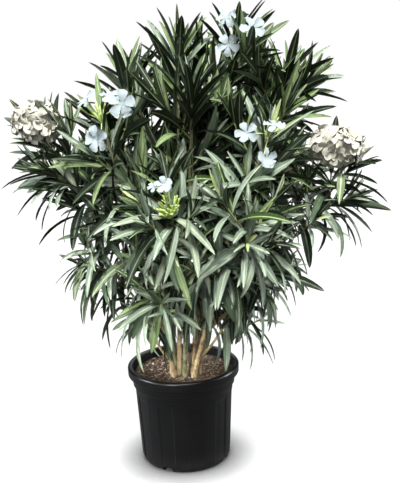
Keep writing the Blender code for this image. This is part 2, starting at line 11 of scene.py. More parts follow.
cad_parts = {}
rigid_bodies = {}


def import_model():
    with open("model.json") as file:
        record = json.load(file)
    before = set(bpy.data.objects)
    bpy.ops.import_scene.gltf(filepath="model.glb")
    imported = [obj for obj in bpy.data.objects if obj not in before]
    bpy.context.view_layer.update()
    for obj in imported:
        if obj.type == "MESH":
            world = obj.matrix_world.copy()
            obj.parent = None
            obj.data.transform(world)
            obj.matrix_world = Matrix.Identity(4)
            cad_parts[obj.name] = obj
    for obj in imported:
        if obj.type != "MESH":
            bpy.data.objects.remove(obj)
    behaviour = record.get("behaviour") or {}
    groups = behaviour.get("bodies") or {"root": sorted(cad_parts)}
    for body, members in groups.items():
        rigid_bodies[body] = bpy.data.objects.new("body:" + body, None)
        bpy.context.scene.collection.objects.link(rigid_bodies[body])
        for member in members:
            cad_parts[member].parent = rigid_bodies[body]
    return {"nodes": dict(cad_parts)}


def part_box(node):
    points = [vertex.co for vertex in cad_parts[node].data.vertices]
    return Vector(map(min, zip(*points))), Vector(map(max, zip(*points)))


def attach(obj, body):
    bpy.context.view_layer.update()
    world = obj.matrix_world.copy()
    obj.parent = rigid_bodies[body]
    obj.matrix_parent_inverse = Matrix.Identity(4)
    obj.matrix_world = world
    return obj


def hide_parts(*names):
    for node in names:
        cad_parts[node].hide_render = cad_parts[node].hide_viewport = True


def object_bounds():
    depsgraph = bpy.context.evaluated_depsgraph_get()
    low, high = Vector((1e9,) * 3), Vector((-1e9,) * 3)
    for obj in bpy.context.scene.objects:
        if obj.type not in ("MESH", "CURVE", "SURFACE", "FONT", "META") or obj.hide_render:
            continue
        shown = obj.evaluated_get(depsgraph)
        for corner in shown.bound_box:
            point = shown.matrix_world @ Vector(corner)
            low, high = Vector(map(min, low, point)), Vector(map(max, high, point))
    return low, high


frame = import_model()
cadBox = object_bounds()
print("frame loaded,", len(frame["nodes"]), "nodes")

up = Vector((0, 0, 1))
tau = math.tau
goldenTurn = 2.4  # radians between one twig, flower or bud and the next


# Node tools, for the materials and for the groups that they share. An input is given a socket to link
# from, or else a plain number, vector or colour.

class Nodes:
    def __init__(self, tree):
        self.tree = tree

    def feed(self, socket, value):
        if isinstance(value, bpy.types.NodeSocket):
            self.tree.links.new(value, socket)
        else:
            socket.default_value = (*value, 1) if socket.type == "RGBA" and len(value) == 3 else value

    def node(self, kind, inputs=(), output=0, **settings):
        # makes a node and gives back one of its outputs
        made = self.tree.nodes.new(kind)
        for name, value in settings.items():
            setattr(made, name, value)
        for name, value in dict(inputs).items():
            self.feed(made.inputs[name], value)
        return made.outputs[output]

    def maths(self, operation, *values, clamp=False):
        return self.node("ShaderNodeMath", enumerate(values), operation=operation, use_clamp=clamp)

    def times(self, a, b):
        return self.maths("MULTIPLY", a, b)

    def mix(self, share, a, b, kind="MIX"):
        return self.node("ShaderNodeMix", {0: share, 6: a, 7: b}, 2, data_type="RGBA", blend_type=kind)

    def ramp(self, factor, stops):
        made = self.node("ShaderNodeValToRGB", {"Fac": factor})
        elements = made.node.color_ramp.elements
        while len(elements) < len(stops):
            elements.new(0.5)
        for element, (place, colour) in zip(elements, stops):
            element.position = place
            element.color = (*colour, 1)
        return made

    def mask(self, factor, low, high, least=0, most=1):
        # a grey that goes from least to most as the factor goes from low to high
        return self.ramp(factor, ((low, [least] * 3), (high, [most] * 3)))

    def noise(self, place, scale, detail, roughness=0.5):
        inputs = {"Vector": place, "Scale": scale, "Detail": detail, "Roughness": roughness}
        return self.node("ShaderNodeTexNoise", inputs)

    def streaks(self, place, stretch, detail, roughness=0.5):
        # noise with its own scale along each axis
        stretched = self.node("ShaderNodeMapping", {"Vector": place, "Scale": stretch})
        return self.noise(stretched, 1.0, detail, roughness)


class Effect(Nodes):
    # a shader node group: a vector and some numbers go in, and numbers come out
    def __init__(self, name, vector, numbers, outputs):
        super().__init__(bpy.data.node_groups.new(name, "ShaderNodeTree"))
        self.socket(vector, "INPUT", "Vector")
        for number, value in numbers.items():
            self.socket(number, "INPUT").default_value = value
        for output in outputs:
            self.socket(output, "OUTPUT")
        self.given = self.tree.nodes.new("NodeGroupInput").outputs
        self.out = self.tree.nodes.new("NodeGroupOutput").inputs

    def socket(self, name, side, kind="Float"):
        return self.tree.interface.new_socket(name, in_out=side, socket_type="NodeSocket" + kind)

    def puts(self, *values):
        for socket, value in zip(self.out, values):
            self.feed(socket, value)
        return self.tree


def mottleEffect():
    # soft patches and fine grain, for tone and for relief
    effect = Effect("mottle", "Place", {"Patch Scale": 20.0, "Grain Scale": 400.0}, ("Patches", "Grain"))
    place, patchScale, grainScale = effect.given[:3]
    patches, grain = effect.noise(place, patchScale, 3.0, 0.55), effect.noise(place, grainScale, 2.0, 0.55)
    return effect.puts(patches, grain)


def veinEffect():
    # side veins that leave the midrib at a slant, long streaks beside them, the darker margin and a
    # relief, read from a leaf's own map: across 0..1, along in cm
    effect = Effect("sideVeins", "Leaf Map", {"Veins Per Cm": 3.6, "Slant": 1.6},
                    ("Veins", "Streaks", "Margin", "Height"))
    maths, times = effect.maths, effect.times
    leafMap, veinsPerCm, slant = effect.given[:3]
    across = effect.node("ShaderNodeSeparateXYZ", {"Vector": leafMap})
    fromRib = maths("ABSOLUTE", maths("SUBTRACT", across, 0.5))
    slanted = maths("SUBTRACT", across.node.outputs["Y"], times(fromRib, slant))
    turns = times(times(slanted, veinsPerCm), tau)
    veins = maths("POWER", maths("MULTIPLY_ADD", maths("SINE", turns), 0.5, 0.5), 3.0)
    cloud = effect.streaks(leafMap, (3.4, 0.22, 1.0), 3.0, 0.6)
    wander = maths("MULTIPLY_ADD", fromRib, tau * 4.2, times(cloud, 9.0))
    lines = maths("ADD", cloud, times(maths("SINE", wander), 0.16))
    margin = maths("MULTIPLY", maths("SUBTRACT", fromRib, 0.33), 5.5, clamp=True)
    return effect.puts(veins, lines, margin, maths("ADD", veins, times(cloud, 3.0)))


mottle = mottleEffect()
sideVeins = veinEffect()


class Look(Nodes):
    # a material, with its Principled shader's plain values set on the shader's own sockets
    def __init__(self, name, **constants):
        self.material = bpy.data.materials.new(name)
        self.material.use_nodes = True
        super().__init__(self.material.node_tree)
        self.shader = self.tree.nodes["Principled BSDF"]
        for socket, value in constants.items():
            self.give(socket.replace("_", " "), value)

    def give(self, socket, value):
        self.feed(self.shader.inputs[socket], value)

    def place(self):
        return self.node("ShaderNodeTexCoord", output="Object")

    def ownMap(self):
        return self.node("ShaderNodeUVMap", uv_map="ownMap")

    def use(self, group, *inputs):
        return self.node("ShaderNodeGroup", enumerate(inputs), node_tree=group).node.outputs

    def mottled(self, patchScale, grainScale):
        return self.use(mottle, self.place(), patchScale, grainScale)

    def relief(self, height, depth, strength):
        bump = self.node("ShaderNodeBump", {"Height": height, "Distance": depth, "Strength": strength})
        self.give("Normal", bump)


def twoToneMaterial(name, tones, roughness, scales, depth, strength):
    # two tones in soft patches, with a fine relief
    look = Look(name, Roughness=roughness)
    patches, grain = look.mottled(*scales)
    look.give("Base Color", look.mix(patches, *tones))
    look.relief(grain, depth, strength)
    return look.material


def scaled(colour, factor):
    return tuple(min(1, part * factor) for part in colour)


# Pieces: points, faces, finishes and maps are gathered, then made one mesh.

def placed(name, data):
    made = bpy.data.objects.new(name, data)
    bpy.context.scene.collection.objects.link(made)
    return made


def meshOf(bm, name):
    mesh = bpy.data.meshes.new(name)
    bm.to_mesh(mesh)
    bm.free()
    return mesh


class Gathered:
    def __init__(self, name, finishes):
        self.name, self.finishes = name, finishes
        self.points, self.faces, self.finishOf, self.maps = [], [], [], []
        self.count = 0

    def add(self, points, faces, finishOf, maps):
        # faces are tuples, finishOf has one number a face, and maps one (u, v) a corner of each face
        self.points.append(np.array(points))
        self.faces += [tuple(i + self.count for i in face) for face in faces]
        self.finishOf += finishOf
        self.maps += maps
        self.count += len(points)

    def addRings(self, points, sides, along, finish=0):
        # rings of points, one after another; along is the place of each ring on its map
        faces = tubeFaces(len(along), sides)
        self.add(points, faces, [finish] * len(faces), tubeMaps(faces, sides, along))

    def addTube(self, points, radii, sides, finish=0):
        along = [index / len(points) for index in range(len(points))]
        self.addRings(tubePoints(points, radii, sides), sides, along, finish)

    def piece(self, sharpAngle=50):
        mesh = bpy.data.meshes.new(self.name)
        mesh.from_pydata(np.concatenate(self.points).tolist(), [], self.faces)
        for finish in self.finishes:
            mesh.materials.append(finish)
        mesh.polygons.foreach_set("material_index", np.array(self.finishOf, np.int32))
        layer = mesh.uv_layers.new(name="ownMap")
        layer.data.foreach_set("uv", np.array(self.maps, np.float32).ravel())
        mesh.shade_smooth()
        mesh.set_sharp_from_angle(angle=math.radians(sharpAngle))
        return placed(self.name, mesh)


def finished(piece, nodes=()):
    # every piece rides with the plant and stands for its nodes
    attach(piece, "root")
    if nodes:
        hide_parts(*nodes)
    print(piece.name, sum(len(face.vertices) - 2 for face in piece.data.polygons), "triangles")


def tubeFaces(rows, sides):
    # faces of a tube of rings and its two ends, outside out where its rings turn anticlockwise from its end
    faces = [(0, *range(sides - 1, 0, -1))]
    for low in range(0, (rows - 1) * sides, sides):
        for side in range(sides):
            after = (side + 1) % sides
            faces.append((low + side, low + after, low + sides + after, low + sides + side))
    faces.append(tuple((rows - 1) * sides + side for side in range(sides)))
    return faces


def tubeMaps(faces, sides, along):
    # a map for a tube: round it 0..1, and along it the given place of each ring
    maps = []
    for face in faces:
        rounds = [index % sides / sides for index in face]
        wraps = max(rounds) - min(rounds) > 0.5 and len(face) == 4
        for index, turn in zip(face, rounds):
            maps.append((turn + 1 if wraps and turn < 0.5 else turn, along[index // sides]))
    return maps


def ringFrames(points):
    # two directions square to a curve at each of its points, carried along it without twisting
    first = (points[1] - points[0]).normalized().orthogonal().normalized()
    frames = []
    for index in range(len(points)):
        along = (points[min(index + 1, len(points) - 1)] - points[max(index - 1, 0)]).normalized()
        first = (first - along * first.dot(along)).normalized()
        frames.append((first, along.cross(first)))
    return frames


def circle(radius, sides, height):
    return [(radius * math.cos(tau * side / sides), radius * math.sin(tau * side / sides), height)
            for side in range(sides)]


def tubePoints(points, radii, sides):
    spokes = circle(1, sides, 0)
    return [point + (a * x + b * y) * radius
            for point, radius, (a, b) in zip(points, radii, ringFrames(points)) for x, y, _ in spokes]


def pathLength(points):
    return sum((b - a).length for a, b in zip(points, points[1:]))


def aroundVector(along, turn):
    # square to a direction, turned about it
    return Matrix.Rotation(turn, 3, along) @ along.orthogonal().normalized()


def bearingVector(degrees):
    return Vector((math.cos(math.radians(degrees)), math.sin(math.radians(degrees)), 0))


def direct(bearing, height):
    # a direction by its bearing from +X towards +Y and its angle up
    flat, rise = math.cos(math.radians(height)), math.sin(math.radians(height))
    return (bearingVector(bearing) * flat + up * rise).normalized()


# Limbs: the same rule as the solids', on finer curves.

crown = {
    "axis": Vector((0.065, 0, 0)),  # the crown leans a little past the pot
    "clump": Vector((0.006, -0.030, 0.2303)),  # where the stems leave the soil
    "rings": {"top": 0.0155, "shoulder": 0.0320},  # feet of the stems, round the clump's middle
    "flareHeight": 0.012,
    "stemRadius": 0.0062,
    "boughShare": 0.70,  # a bough's foot, as a share of its stem's thickness there
    "tipRadius": 0.0021,
    "saddleOffset": 0.0010,
    "stemSlants": (0.9, 1.1),  # how far a stem leans out as it leaves the soil, and at its tip
    "stemPull": 0.33,  # length of a curve's handles, as a share of the way to the tip
    "boughPull": 0.35,
    "leafyPart": {"stem": 0.58, "bough": 0.55},  # share of the limb's length that carries leaves
    "forkAngle": math.radians(48),
    "forkStagger": 0.025,
    "forks": {"flank": (0.425, 1.2), "waist": (0.350, 0.6), "skirt": (0.285, 0.5)},  # height, rise
    "coarseSteps": 16,  # the steps that the rule counts in
    "fineSteps": 76,
    "seed": 5,
    # each shoot: bearing in degrees from +X towards +Y, reach from the crown's axis, height of its tip
    "tiers": {
        "top": {
            "top_left": (200, 0.050, 1.015),
            "top_right": (15, 0.090, 1.042),
            "top_back": (95, 0.120, 0.985),
            "top_front": (262, 0.130, 0.930),
        },
        "shoulder": {
            "left": (178, 0.175, 0.955),
            "right": (358, 0.205, 0.955),
            "back_right": (48, 0.240, 0.910),
            "back_left": (132, 0.240, 0.910),
            "front_left": (208, 0.250, 0.870),
            "front_right": (312, 0.215, 0.830),
        },
        "flank": {
            "flank_left": (181, 0.375, 0.825),
            "flank_right": (359, 0.358, 0.740),
            "flank_back_right": (38, 0.325, 0.730),
            "flank_back": (90, 0.310, 0.770),
            "flank_back_left": (142, 0.325, 0.750),
            "flank_front_left": (255, 0.290, 0.715),
            "flank_front_right": (290, 0.290, 0.670),
        },
        "waist": {
            "waist_left": (190, 0.285, 0.560),
            "waist_front_left": (243, 0.225, 0.500),
            "waist_front": (278, 0.235, 0.570),
            "waist_front_right": (318, 0.195, 0.520),
            "waist_right": (8, 0.200, 0.550),
            "waist_back_right": (60, 0.230, 0.540),
            "waist_back_left": (128, 0.250, 0.540),
        },
        "skirt": {
            "skirt_left": (200, 0.180, 0.410),
            "skirt_right": (325, 0.095, 0.395),
            "skirt_back": (95, 0.130, 0.410),
        },
    },
}


class Limb:
    # a stem or bough with the leafy twig that carries it on, along one curve
    def __init__(self, name, tier, bearing, handles, footRadius, foot=None, parent=None):
        self.name, self.tier, self.bearing, self.parent = name, tier, bearing, parent
        self.tip = handles[-1]
        self.foot = foot
        self.footRadius = footRadius
        self.coarse = interpolate_bezier(*handles, crown["coarseSteps"])
        self.fine = interpolate_bezier(*handles, crown["fineSteps"])
        self.lead = 0 if foot is None else 1  # a stem's foot counts as one more step of the rule
        if foot is not None:
            self.coarse = [foot, *self.coarse]
        steps = len(self.coarse) - 1
        firstLeafy = round(steps * (1 - crown["leafyPart"]["stem" if parent is None else "bough"]))
        self.leafyShare = (firstLeafy - self.lead) / (steps - self.lead)

    def thickness(self, done):
        return self.footRadius + (crown["tipRadius"] - self.footRadius) * done

    def radius(self, share):
        steps = len(self.coarse) - 1
        return self.thickness((share * (steps - self.lead) + self.lead) / steps)

    def point(self, share):
        where = min(max(share, 0), 1) * (len(self.fine) - 1)
        index = min(int(where), len(self.fine) - 2)
        return self.fine[index].lerp(self.fine[index + 1], where - index)

    def along(self, share):
        return (self.point(share + 0.02) - self.point(share - 0.02)).normalized()


def tipPlace(bearing, reach, height):
    return crown["axis"] + bearingVector(bearing) * reach + up * height


def curveHandles(start, leave, tip, arrive, pull):
    length = (tip - start).length
    return start, start + leave * length * pull, tip - arrive * length * pull, tip


def growStem(name, tier, bearing, reach, height):
    foot = crown["clump"] + bearingVector(bearing) * crown["rings"][tier]
    start = foot + up * crown["flareHeight"]
    tip = tipPlace(bearing, reach, height)
    outwards = (tip - start).to_2d().to_3d() / (tip - start).length
    leave, arrive = ((up + outwards * slant).normalized() for slant in crown["stemSlants"])
    handles = curveHandles(start, leave, tip, arrive, crown["stemPull"])
    return Limb(name, tier, bearing, handles, crown["stemRadius"], foot=foot)


def growBough(name, tier, bearing, reach, height, parent, forkHeight, rise):
    tip = tipPlace(bearing, reach, height)
    fork = next(i for i, point in enumerate(parent.coarse) if point.z > forkHeight)
    below, above = parent.coarse[fork - 1], parent.coarse[fork]
    middle = below.lerp(above, (forkHeight - below.z) / (above.z - below.z))
    along = (above - below).normalized()
    towards = tip - middle
    side = (towards - along * towards.dot(along)).normalized()
    leave = along * math.cos(crown["forkAngle"]) + side * math.sin(crown["forkAngle"])
    arrive = (up * rise + bearingVector(bearing)).normalized()
    handles = curveHandles(middle + side * crown["saddleOffset"], leave, tip, arrive, crown["boughPull"])
    radius = parent.thickness(fork / (len(parent.coarse) - 1))
    return Limb(name, tier, bearing, handles, radius * crown["boughShare"], parent=parent)


def growLimbs():
    stems = [growStem(name, tier, *shoot)
             for tier in ("top", "shoulder") for name, shoot in crown["tiers"][tier].items()]
    outer = [limb for limb in stems if limb.tier == "shoulder"]
    boughs = []
    for tier, (forkHeight, rise) in crown["forks"].items():
        used = {limb.name: 0 for limb in outer}
        for name, shoot in crown["tiers"][tier].items():
            parent = min(outer, key=lambda limb: abs((limb.bearing - shoot[0] + 180) % 360 - 180))
            lift = used[parent.name] * crown["forkStagger"]
            used[parent.name] += 1
            boughs.append(growBough(name, tier, *shoot, parent, forkHeight + lift, rise))
    return stems + boughs


limbs = growLimbs()
limbNamed = {limb.name: limb for limb in limbs}
print("limbs grown:", len(limbs))


# Bark: each stem and bough, whole from its foot to its growing tip, with leaf scars and ridges.

bark = {
    "sides": 14,
    "rowSpacing": 0.006,
    "leastRows": 12,
    "scarSpacing": 0.026,
    "scarSwell": 0.10,  # share of the radius
    "scarWidth": 0.0020,
    "ridges": 0.05,
    "ridgeScale": (320, 320, 40),
    "footSwell": 1.30,
    "footReach": 0.020,
    "buried": 0.010,  # a stem goes on into the soil by this much
    "tan": (0.64, 0.47, 0.25),
    "olive": (0.225, 0.235, 0.105),
    "green": (0.180, 0.235, 0.068),
    "brownPatch": (0.110, 0.074, 0.036),
    "darkGrain": (0.05, 0.038, 0.020),
    "palePatch": (0.60, 0.50, 0.36),
    "oliveLimbs": ("top_front", "back_left"),
}


def barkMaterial(name, foot):
    look = Look(name, Roughness=0.72)
    own = look.ownMap()
    age = look.node("ShaderNodeSeparateXYZ", {"Vector": own}, "Y")
    patches, grain = look.mottled(60.0, 700.0)
    wander = look.maths("ADD", age, look.times(look.maths("SUBTRACT", patches, 0.5), 0.16))
    olive, green = bark["olive"], bark["green"]
    body = look.ramp(wander, ((0.00, foot), (0.17, foot), (0.36, olive), (0.60, olive), (0.85, green)))
    browned = look.mix(look.times(look.mask(patches, 0.34, 0.50, 1, 0), 0.75), body, bark["brownPatch"])
    dark = look.mix(look.mask(grain, 0.35, 0.75, 0, 0.85), browned, bark["darkGrain"])
    lifted = look.mix(look.times(look.mask(patches, 0.54, 0.68), 0.30), dark, bark["palePatch"])
    look.give("Base Color", lifted)
    cracks = look.streaks(own, (26.0, 60.0, 1.0), 5.0, 0.65)
    look.relief(look.maths("ADD", cracks, look.times(grain, 0.5)), 0.0018, 0.9)
    return look.material


def barkRows(limb):
    # points, radii and heights above the clump along a limb
    length = pathLength(limb.fine)
    rows = max(bark["leastRows"], round(length / bark["rowSpacing"]))
    points, radii, ages = [], [], []
    if limb.parent is None:
        for drop in (bark["buried"], 0.0):
            points.append(limb.foot - up * drop)
            radii.append(limb.radius(0) * bark["footSwell"])
            ages.append(0.0)
    for row in range(rows + 1):
        share = row / rows
        done = share * length
        near = (done + crown["flareHeight"] * limb.lead) / bark["footReach"]
        swell = 1 + (bark["footSwell"] - 1) * math.exp(-near * near)
        scar = (done / bark["scarSpacing"] + 0.5) % 1 - 0.5
        swell += bark["scarSwell"] * math.exp(-(scar * bark["scarSpacing"] / bark["scarWidth"]) ** 2)
        points.append(limb.point(share))
        radii.append(limb.radius(share) * swell)
        ages.append(limb.point(share).z - crown["clump"].z)
    return points, radii, ages


def barkPiece(limb, finish):
    points, radii, ages = barkRows(limb)
    surface = []
    for index, place in enumerate(tubePoints(points, radii, bark["sides"])):
        middle = points[index // bark["sides"]]
        ridge = noise.noise(place * Vector(bark["ridgeScale"]))
        surface.append(middle + (place - middle) * (1 + bark["ridges"] * ridge))
    made = Gathered("limb_" + limb.name, [finish])
    made.addRings(surface, bark["sides"], ages)
    finished(made.piece(), [("stem_" if limb.parent is None else "bough_") + limb.name])


tanBark, oliveBark = barkMaterial("tanBark", bark["tan"]), barkMaterial("oliveBark", bark["olive"])
for limb in limbs:
    barkPiece(limb, oliveBark if limb.name in bark["oliveLimbs"] else tanBark)


# Leaf blades: one closed form for leaves and petals. A row's ring runs from the left edge over the two
# sides of the midrib to the right edge, and back over the two sides of the keel under it.

blade = {
    "ribMost": 0.6,  # share of the half width
    "keelWidth": 0.8,  # share of the midrib's
    "keelThinning": 0.6,  # share of the keel that is gone by the tip
    "waves": 17,  # radians along the edge
    "pull": (1.3, 0.6),  # of its weight at its foot, and how much of that is lost by the tip
    "ownStep": 17,  # cm of the streaks' pattern from one blade to the next
    "ownSpan": 900,
}


class BladeForm:
    def __init__(self, shares, ribShare, ribLeast, ownStreaks):
        self.shares = np.array(shares)
        self.ribShare = ribShare  # half width of the midrib's strip, as a share of the half width there
        self.ribLeast = ribLeast
        self.ownStreaks = ownStreaks  # each blade has its own stretch of the pattern
        rings = len(shares) - 1
        self.faces = [(0, 1, 2, 3, 4, 5)]
        self.kinds = [1]  # 0 blade, 1 rib, 2 underside
        for row in range(rings):
            for side in range(6):
                a, b = row * 6 + side, row * 6 + (side + 1) % 6
                self.faces.append((a, a + 6, b + 6, b) if row < rings - 1 else (a, rings * 6, b))
                self.kinds.append((0, 1, 0, 2, 1, 2)[side])
        across = (0.0, 0.47, 0.53, 1.0, 0.53, 0.47)
        places = [(across[i % 6], shares[i // 6]) for i in range(rings * 6)] + [(0.5, shares[-1])]
        self.corners = [places[i] for face in self.faces for i in face]
        self.size = len(places)

    def points(self, blades, halfWidth):
        # blades is a dictionary of arrays, one row a blade; returns their points, (blades, size, 3)
        across, direction, place = blades["across"], blades["direction"], blades["root"]
        length, bend, sag, twist, fold, phase, waviness, thick = (blades[key][:, None] for key in (
            "length", "bend", "sag", "twist", "fold", "phase", "wave", "keel"))
        rings = []
        for index, share in enumerate(self.shares):
            if index:
                step = share - self.shares[index - 1]
                middle = share - step / 2
                above = np.cross(direction, across)
                pull = sag * step * (blade["pull"][0] - blade["pull"][1] * middle)
                direction = direction - above * (bend * step * 2 * middle)
                direction = direction - np.array([0, 0, 1.0]) * pull
                direction /= np.linalg.norm(direction, axis=1)[:, None]
                across = across + np.cross(direction, across) * (twist * step)
                across = across - direction * np.sum(across * direction, axis=1)[:, None]
                across /= np.linalg.norm(across, axis=1)[:, None]
                place = place + direction * length * step
            if index == len(self.shares) - 1:
                rings.append(place[:, None])
                continue
            above = np.cross(direction, across)
            half = halfWidth(share, blades)[:, None]
            rib = np.maximum(half * self.ribShare, np.minimum(self.ribLeast, half * blade["ribMost"]))
            out, lift = half * np.cos(fold), half * np.sin(fold)
            wave = waviness * np.sin(share * blade["waves"] + phase) * half
            under = above * (thick * (1 - blade["keelThinning"] * share))
            rings.append(np.stack([
                place - across * out + above * (lift + wave),
                place - across * rib,
                place + across * rib,
                place + across * out + above * (lift - wave),
                place + across * rib * blade["keelWidth"] - under,
                place - across * rib * blade["keelWidth"] - under,
            ], axis=1))
        return np.concatenate(rings, axis=1)

    def gather(self, name, finishes, points, tones, finishTable, lengths):
        # finishTable[tone] gives the finishes of blade, rib and underside
        count = len(points)
        starts = range(0, count * self.size, self.size)
        faces = [tuple(i + start for i in face) for start in starts for face in self.faces]
        finishOf = np.array(finishTable)[np.asarray(tones)[:, None], np.array(self.kinds)[None, :]].ravel()
        maps = np.repeat(np.array(self.corners)[None], count, axis=0)
        maps[:, :, 1] *= np.asarray(lengths)[:, None] * 100
        if self.ownStreaks:
            maps[:, :, 1] += (np.arange(count) * blade["ownStep"] % blade["ownSpan"])[:, None]
        made = Gathered(name, finishes)
        made.add(points.reshape(-1, 3), faces, finishOf.tolist(), maps.reshape(-1, 2).tolist())
        return made


# Foliage: twigs and whorls of leaves that grow on from each limb by the source's rule, carried finer.

foliage = {
    "sourceTwigs": 2,  # the side twigs that the solids have, and then the finer ones
    "leafyPart": {"top": 1.0, "shoulder": 1.0, "flank": 0.72, "waist": 1.0, "skirt": 0.9},
    "finerTwigs": {"top": 5, "shoulder": 7, "flank": 6, "waist": 6, "skirt": 2},
    "moreTwigs": {"right": 6, "back_right": 4, "top_right": 3},
    "twigLength": 0.095,
    "twigLengthSpread": (0.85, 1.15),
    "twigTurns": (0.5, 1.9),  # radians round the limb from its own turn, of the first and of the finer ones
    "twigPlaces": (0.20, 0.26),  # share of the leafy part: of the first twig, and on to the next
    "finerPlaces": (0.08, 0.84),  # of the first finer twig, and the share that they spread over
    "finerSizes": (0.8, 1.25),
    "finerSeed": 1000,
    "twigLeave": (0.65, 0.75),  # how far a twig leaves along its limb, and out from it
    "twigBend": 0.5,  # share of its length out at which it turns up
    "twigEnd": (0.9, 0.2),  # and how far out and up it ends
    "twigPull": (0.7, 0.4),  # of its handles towards the bend, and from there to its end
    "twigLeafyPart": 0.85,
    "twigVigour": (0.78, 0.98),  # length of its leaves as a share of the limb's
    "twigRows": 9,
    "twigRadii": (0.0024, 0.0019),  # of these and of the finer ones
    "whorlLeaves": 3,
    "tipSpacing": (0.011, 0.010),  # between whorls at a growing tip: low in the crown, and at its top
    "oldSpacing": (0.050, 0.028),  # and well below it
    "oldAfter": 0.12,
    "length": (0.160, 0.146),
    "youngLength": (0.26, 0.72),  # share, at the very tip
    "fullAfter": (0.050, 0.030),  # from here down leaves have their full length
    "width": (0.0192, 0.0255),
    "youngWidth": 0.38,
    "lengthSpread": (0.80, 1.12),
    "widthSpread": (0.82, 1.15),
    "spinSpread": (-0.15, 0.15),  # of a leaf round its twig
    "angleSpread": (-0.16, 0.16),  # and away from it
    "fold": math.radians(25),
    "youngAngle": math.radians(13),
    "oldAngle": math.radians(74),
    "angleAfter": (0.07, 0.38),  # distance below the tip at which leaves stand at the old angle
    "sagAfter": (0.13, 0.50),  # and at which they hang by their own weight
    "sag": (0.08, 2.8),  # of any leaf, and more of an old one
    "sagHigh": 0.15,  # high in the crown the old ones still have this share of it
    "sagSpread": (0.25, 1.35),
    "bend": (0.12, 0.15, 1.1),  # radians that a blade curls: any, more with age, more low in the crown
    "bendSpread": (0.2, 1.5),
    "twist": (0.25, 0.7),  # radians either way: of any leaf, and more of an old one
    "foldLost": 0.4,  # share of the fold that is gone at the old angle
    "foldSpread": (0.5, 1.2),
    "wave": 0.07,  # at most, as a share of the half width
    "hangFrom": 1.00,  # above this height no leaf hangs
    "hangFully": 0.55,  # and below this one the old ones hang most
    "hang": 0.10,
    "hangSpread": (0.4, 1.6),
    "border": 0.080,  # leaves may reach this far past the middle line between two masses
    "keel": 0.0011,
    "potGap": 0.003,
    "boxGap": (-0.006, 0.012, 0.003),  # leaves keep within the solids' box and this much
    "rimWidth": 0.025,
    "overhang": (0.015, 0.060),  # no leaf hangs beside the pot from this far under its rim, this far out
    "flowerBack": 0.012,  # leaves keep clear of a flower from this far behind it
    "flowerView": 0.12,  # to this far before it
    "flowerWidth": 0.026,  # as wide as this, for one of size 1
    "fadedSize": 0.036,  # radius of a faded head of size 1
    "fadedHeight": 10,
    "spaceReach": 0.06,  # a mass's own line goes on past its tip by this
    "stemView": ((-0.085, -0.40), (0.090, -0.01)),  # before the stems, in x and y, few leaves hang
    "stemViewHeights": (0.235, 0.325),  # at the middle of the pot, and higher towards the front
    "stemViewRise": 0.37,
    "stemViewKept": 0.42,
    "stemViewTouch": 0.12,  # a leaf with less than this share of it there isn't counted
    "thinBelow": 0.60,  # low whorls have lost this share of their leaves
    "thin": 0.36,
    "crownMiddle": (0.045, 0.0),  # in x and y, of the crown's outline, whose half width goes by height
    "crownHeights": (0.30, 0.45, 0.62, 0.80, 0.95, 1.13),
    "crownHalfWidths": (0.16, 0.27, 0.36, 0.40, 0.30, 0.16),
    "shadeOutside": 0.35,  # what the chance of a dark shade leaf, painted shade, is multiplied by at the crown's surface
    "shadeInside": 6.0,  # and how much more by its middle
    "strayFrom": 0.08,  # share of a stem from which old leaves hang on below its leafy part
    "straySpacing": 0.034,
    "strayFacing": 70,  # they face away from the clump within these degrees
}

# each tone's chance at the foot of the crown and at its top; a few shoots open with bright leaves
toneChances = {
    "deep": (0.02, 0.28),
    "green": (0.03, 0.44),
    "moss": (0.19, 0.02),
    "sage": (0.38, 0.15),
    "pale": (0.11, 0.07),
    "fresh": (0.01, 0.04),
    # shade: near-black leaves, painted shade for the crown's foot and middle
    "shade": (0.30, 0.03),
}
tones = [*toneChances, "bud"]
youngTones = {
    "freshReach": 0.026,  # leaves this near a growing tip are often fresh green high in the crown
    "freshChance": 0.40,
    "budReach": 0.009,  # and the innermost of some shoots yellow green
    "budShoots": 0.40,
}


class Sprays:
    # leaf settings gathered whorl by whorl
    def __init__(self):
        self.rows = []

    def leaf(self, **values):
        self.rows.append(values)

    def arrays(self):
        return {key: np.array([row[key] for row in self.rows]) for key in self.rows[0]}


def lowness(height):
    return min(max((foliage["hangFrom"] - height) / (foliage["hangFrom"] - foliage["hangFully"]), 0), 1)


def blended(ends, low):
    # a setting that has one value low in the crown and another at its top
    foot, top = ends
    return foot * low + top * (1 - low)


def byHeight(name, low):
    return blended(foliage[name], low)


def inwardness(place):
    # 0 at the crown's surface, 1 on its middle line
    middle = Vector((*foliage["crownMiddle"], place.z))
    halfWidth = np.interp(place.z, foliage["crownHeights"], foliage["crownHalfWidths"])
    return max(0.0, 1 - (place - middle).length / halfWidth)


def toneOf(rng, below, place, bright):
    # darker at the top, sage low down, and the near-black leaves that paint in shade mostly low down and
    # within the crown
    if bright and below < youngTones["budReach"]:
        return tones.index("bud")
    low = lowness(place.z)
    if below < youngTones["freshReach"] and rng.random() < youngTones["freshChance"] * (1 - low):
        return tones.index("fresh")
    chances = [blended(ends, low) for ends in toneChances.values()]
    inside = foliage["shadeInside"] * inwardness(place) ** 2
    chances[tones.index("shade")] *= foliage["shadeOutside"] + inside
    return rng.choices(range(len(chances)), chances)[0]


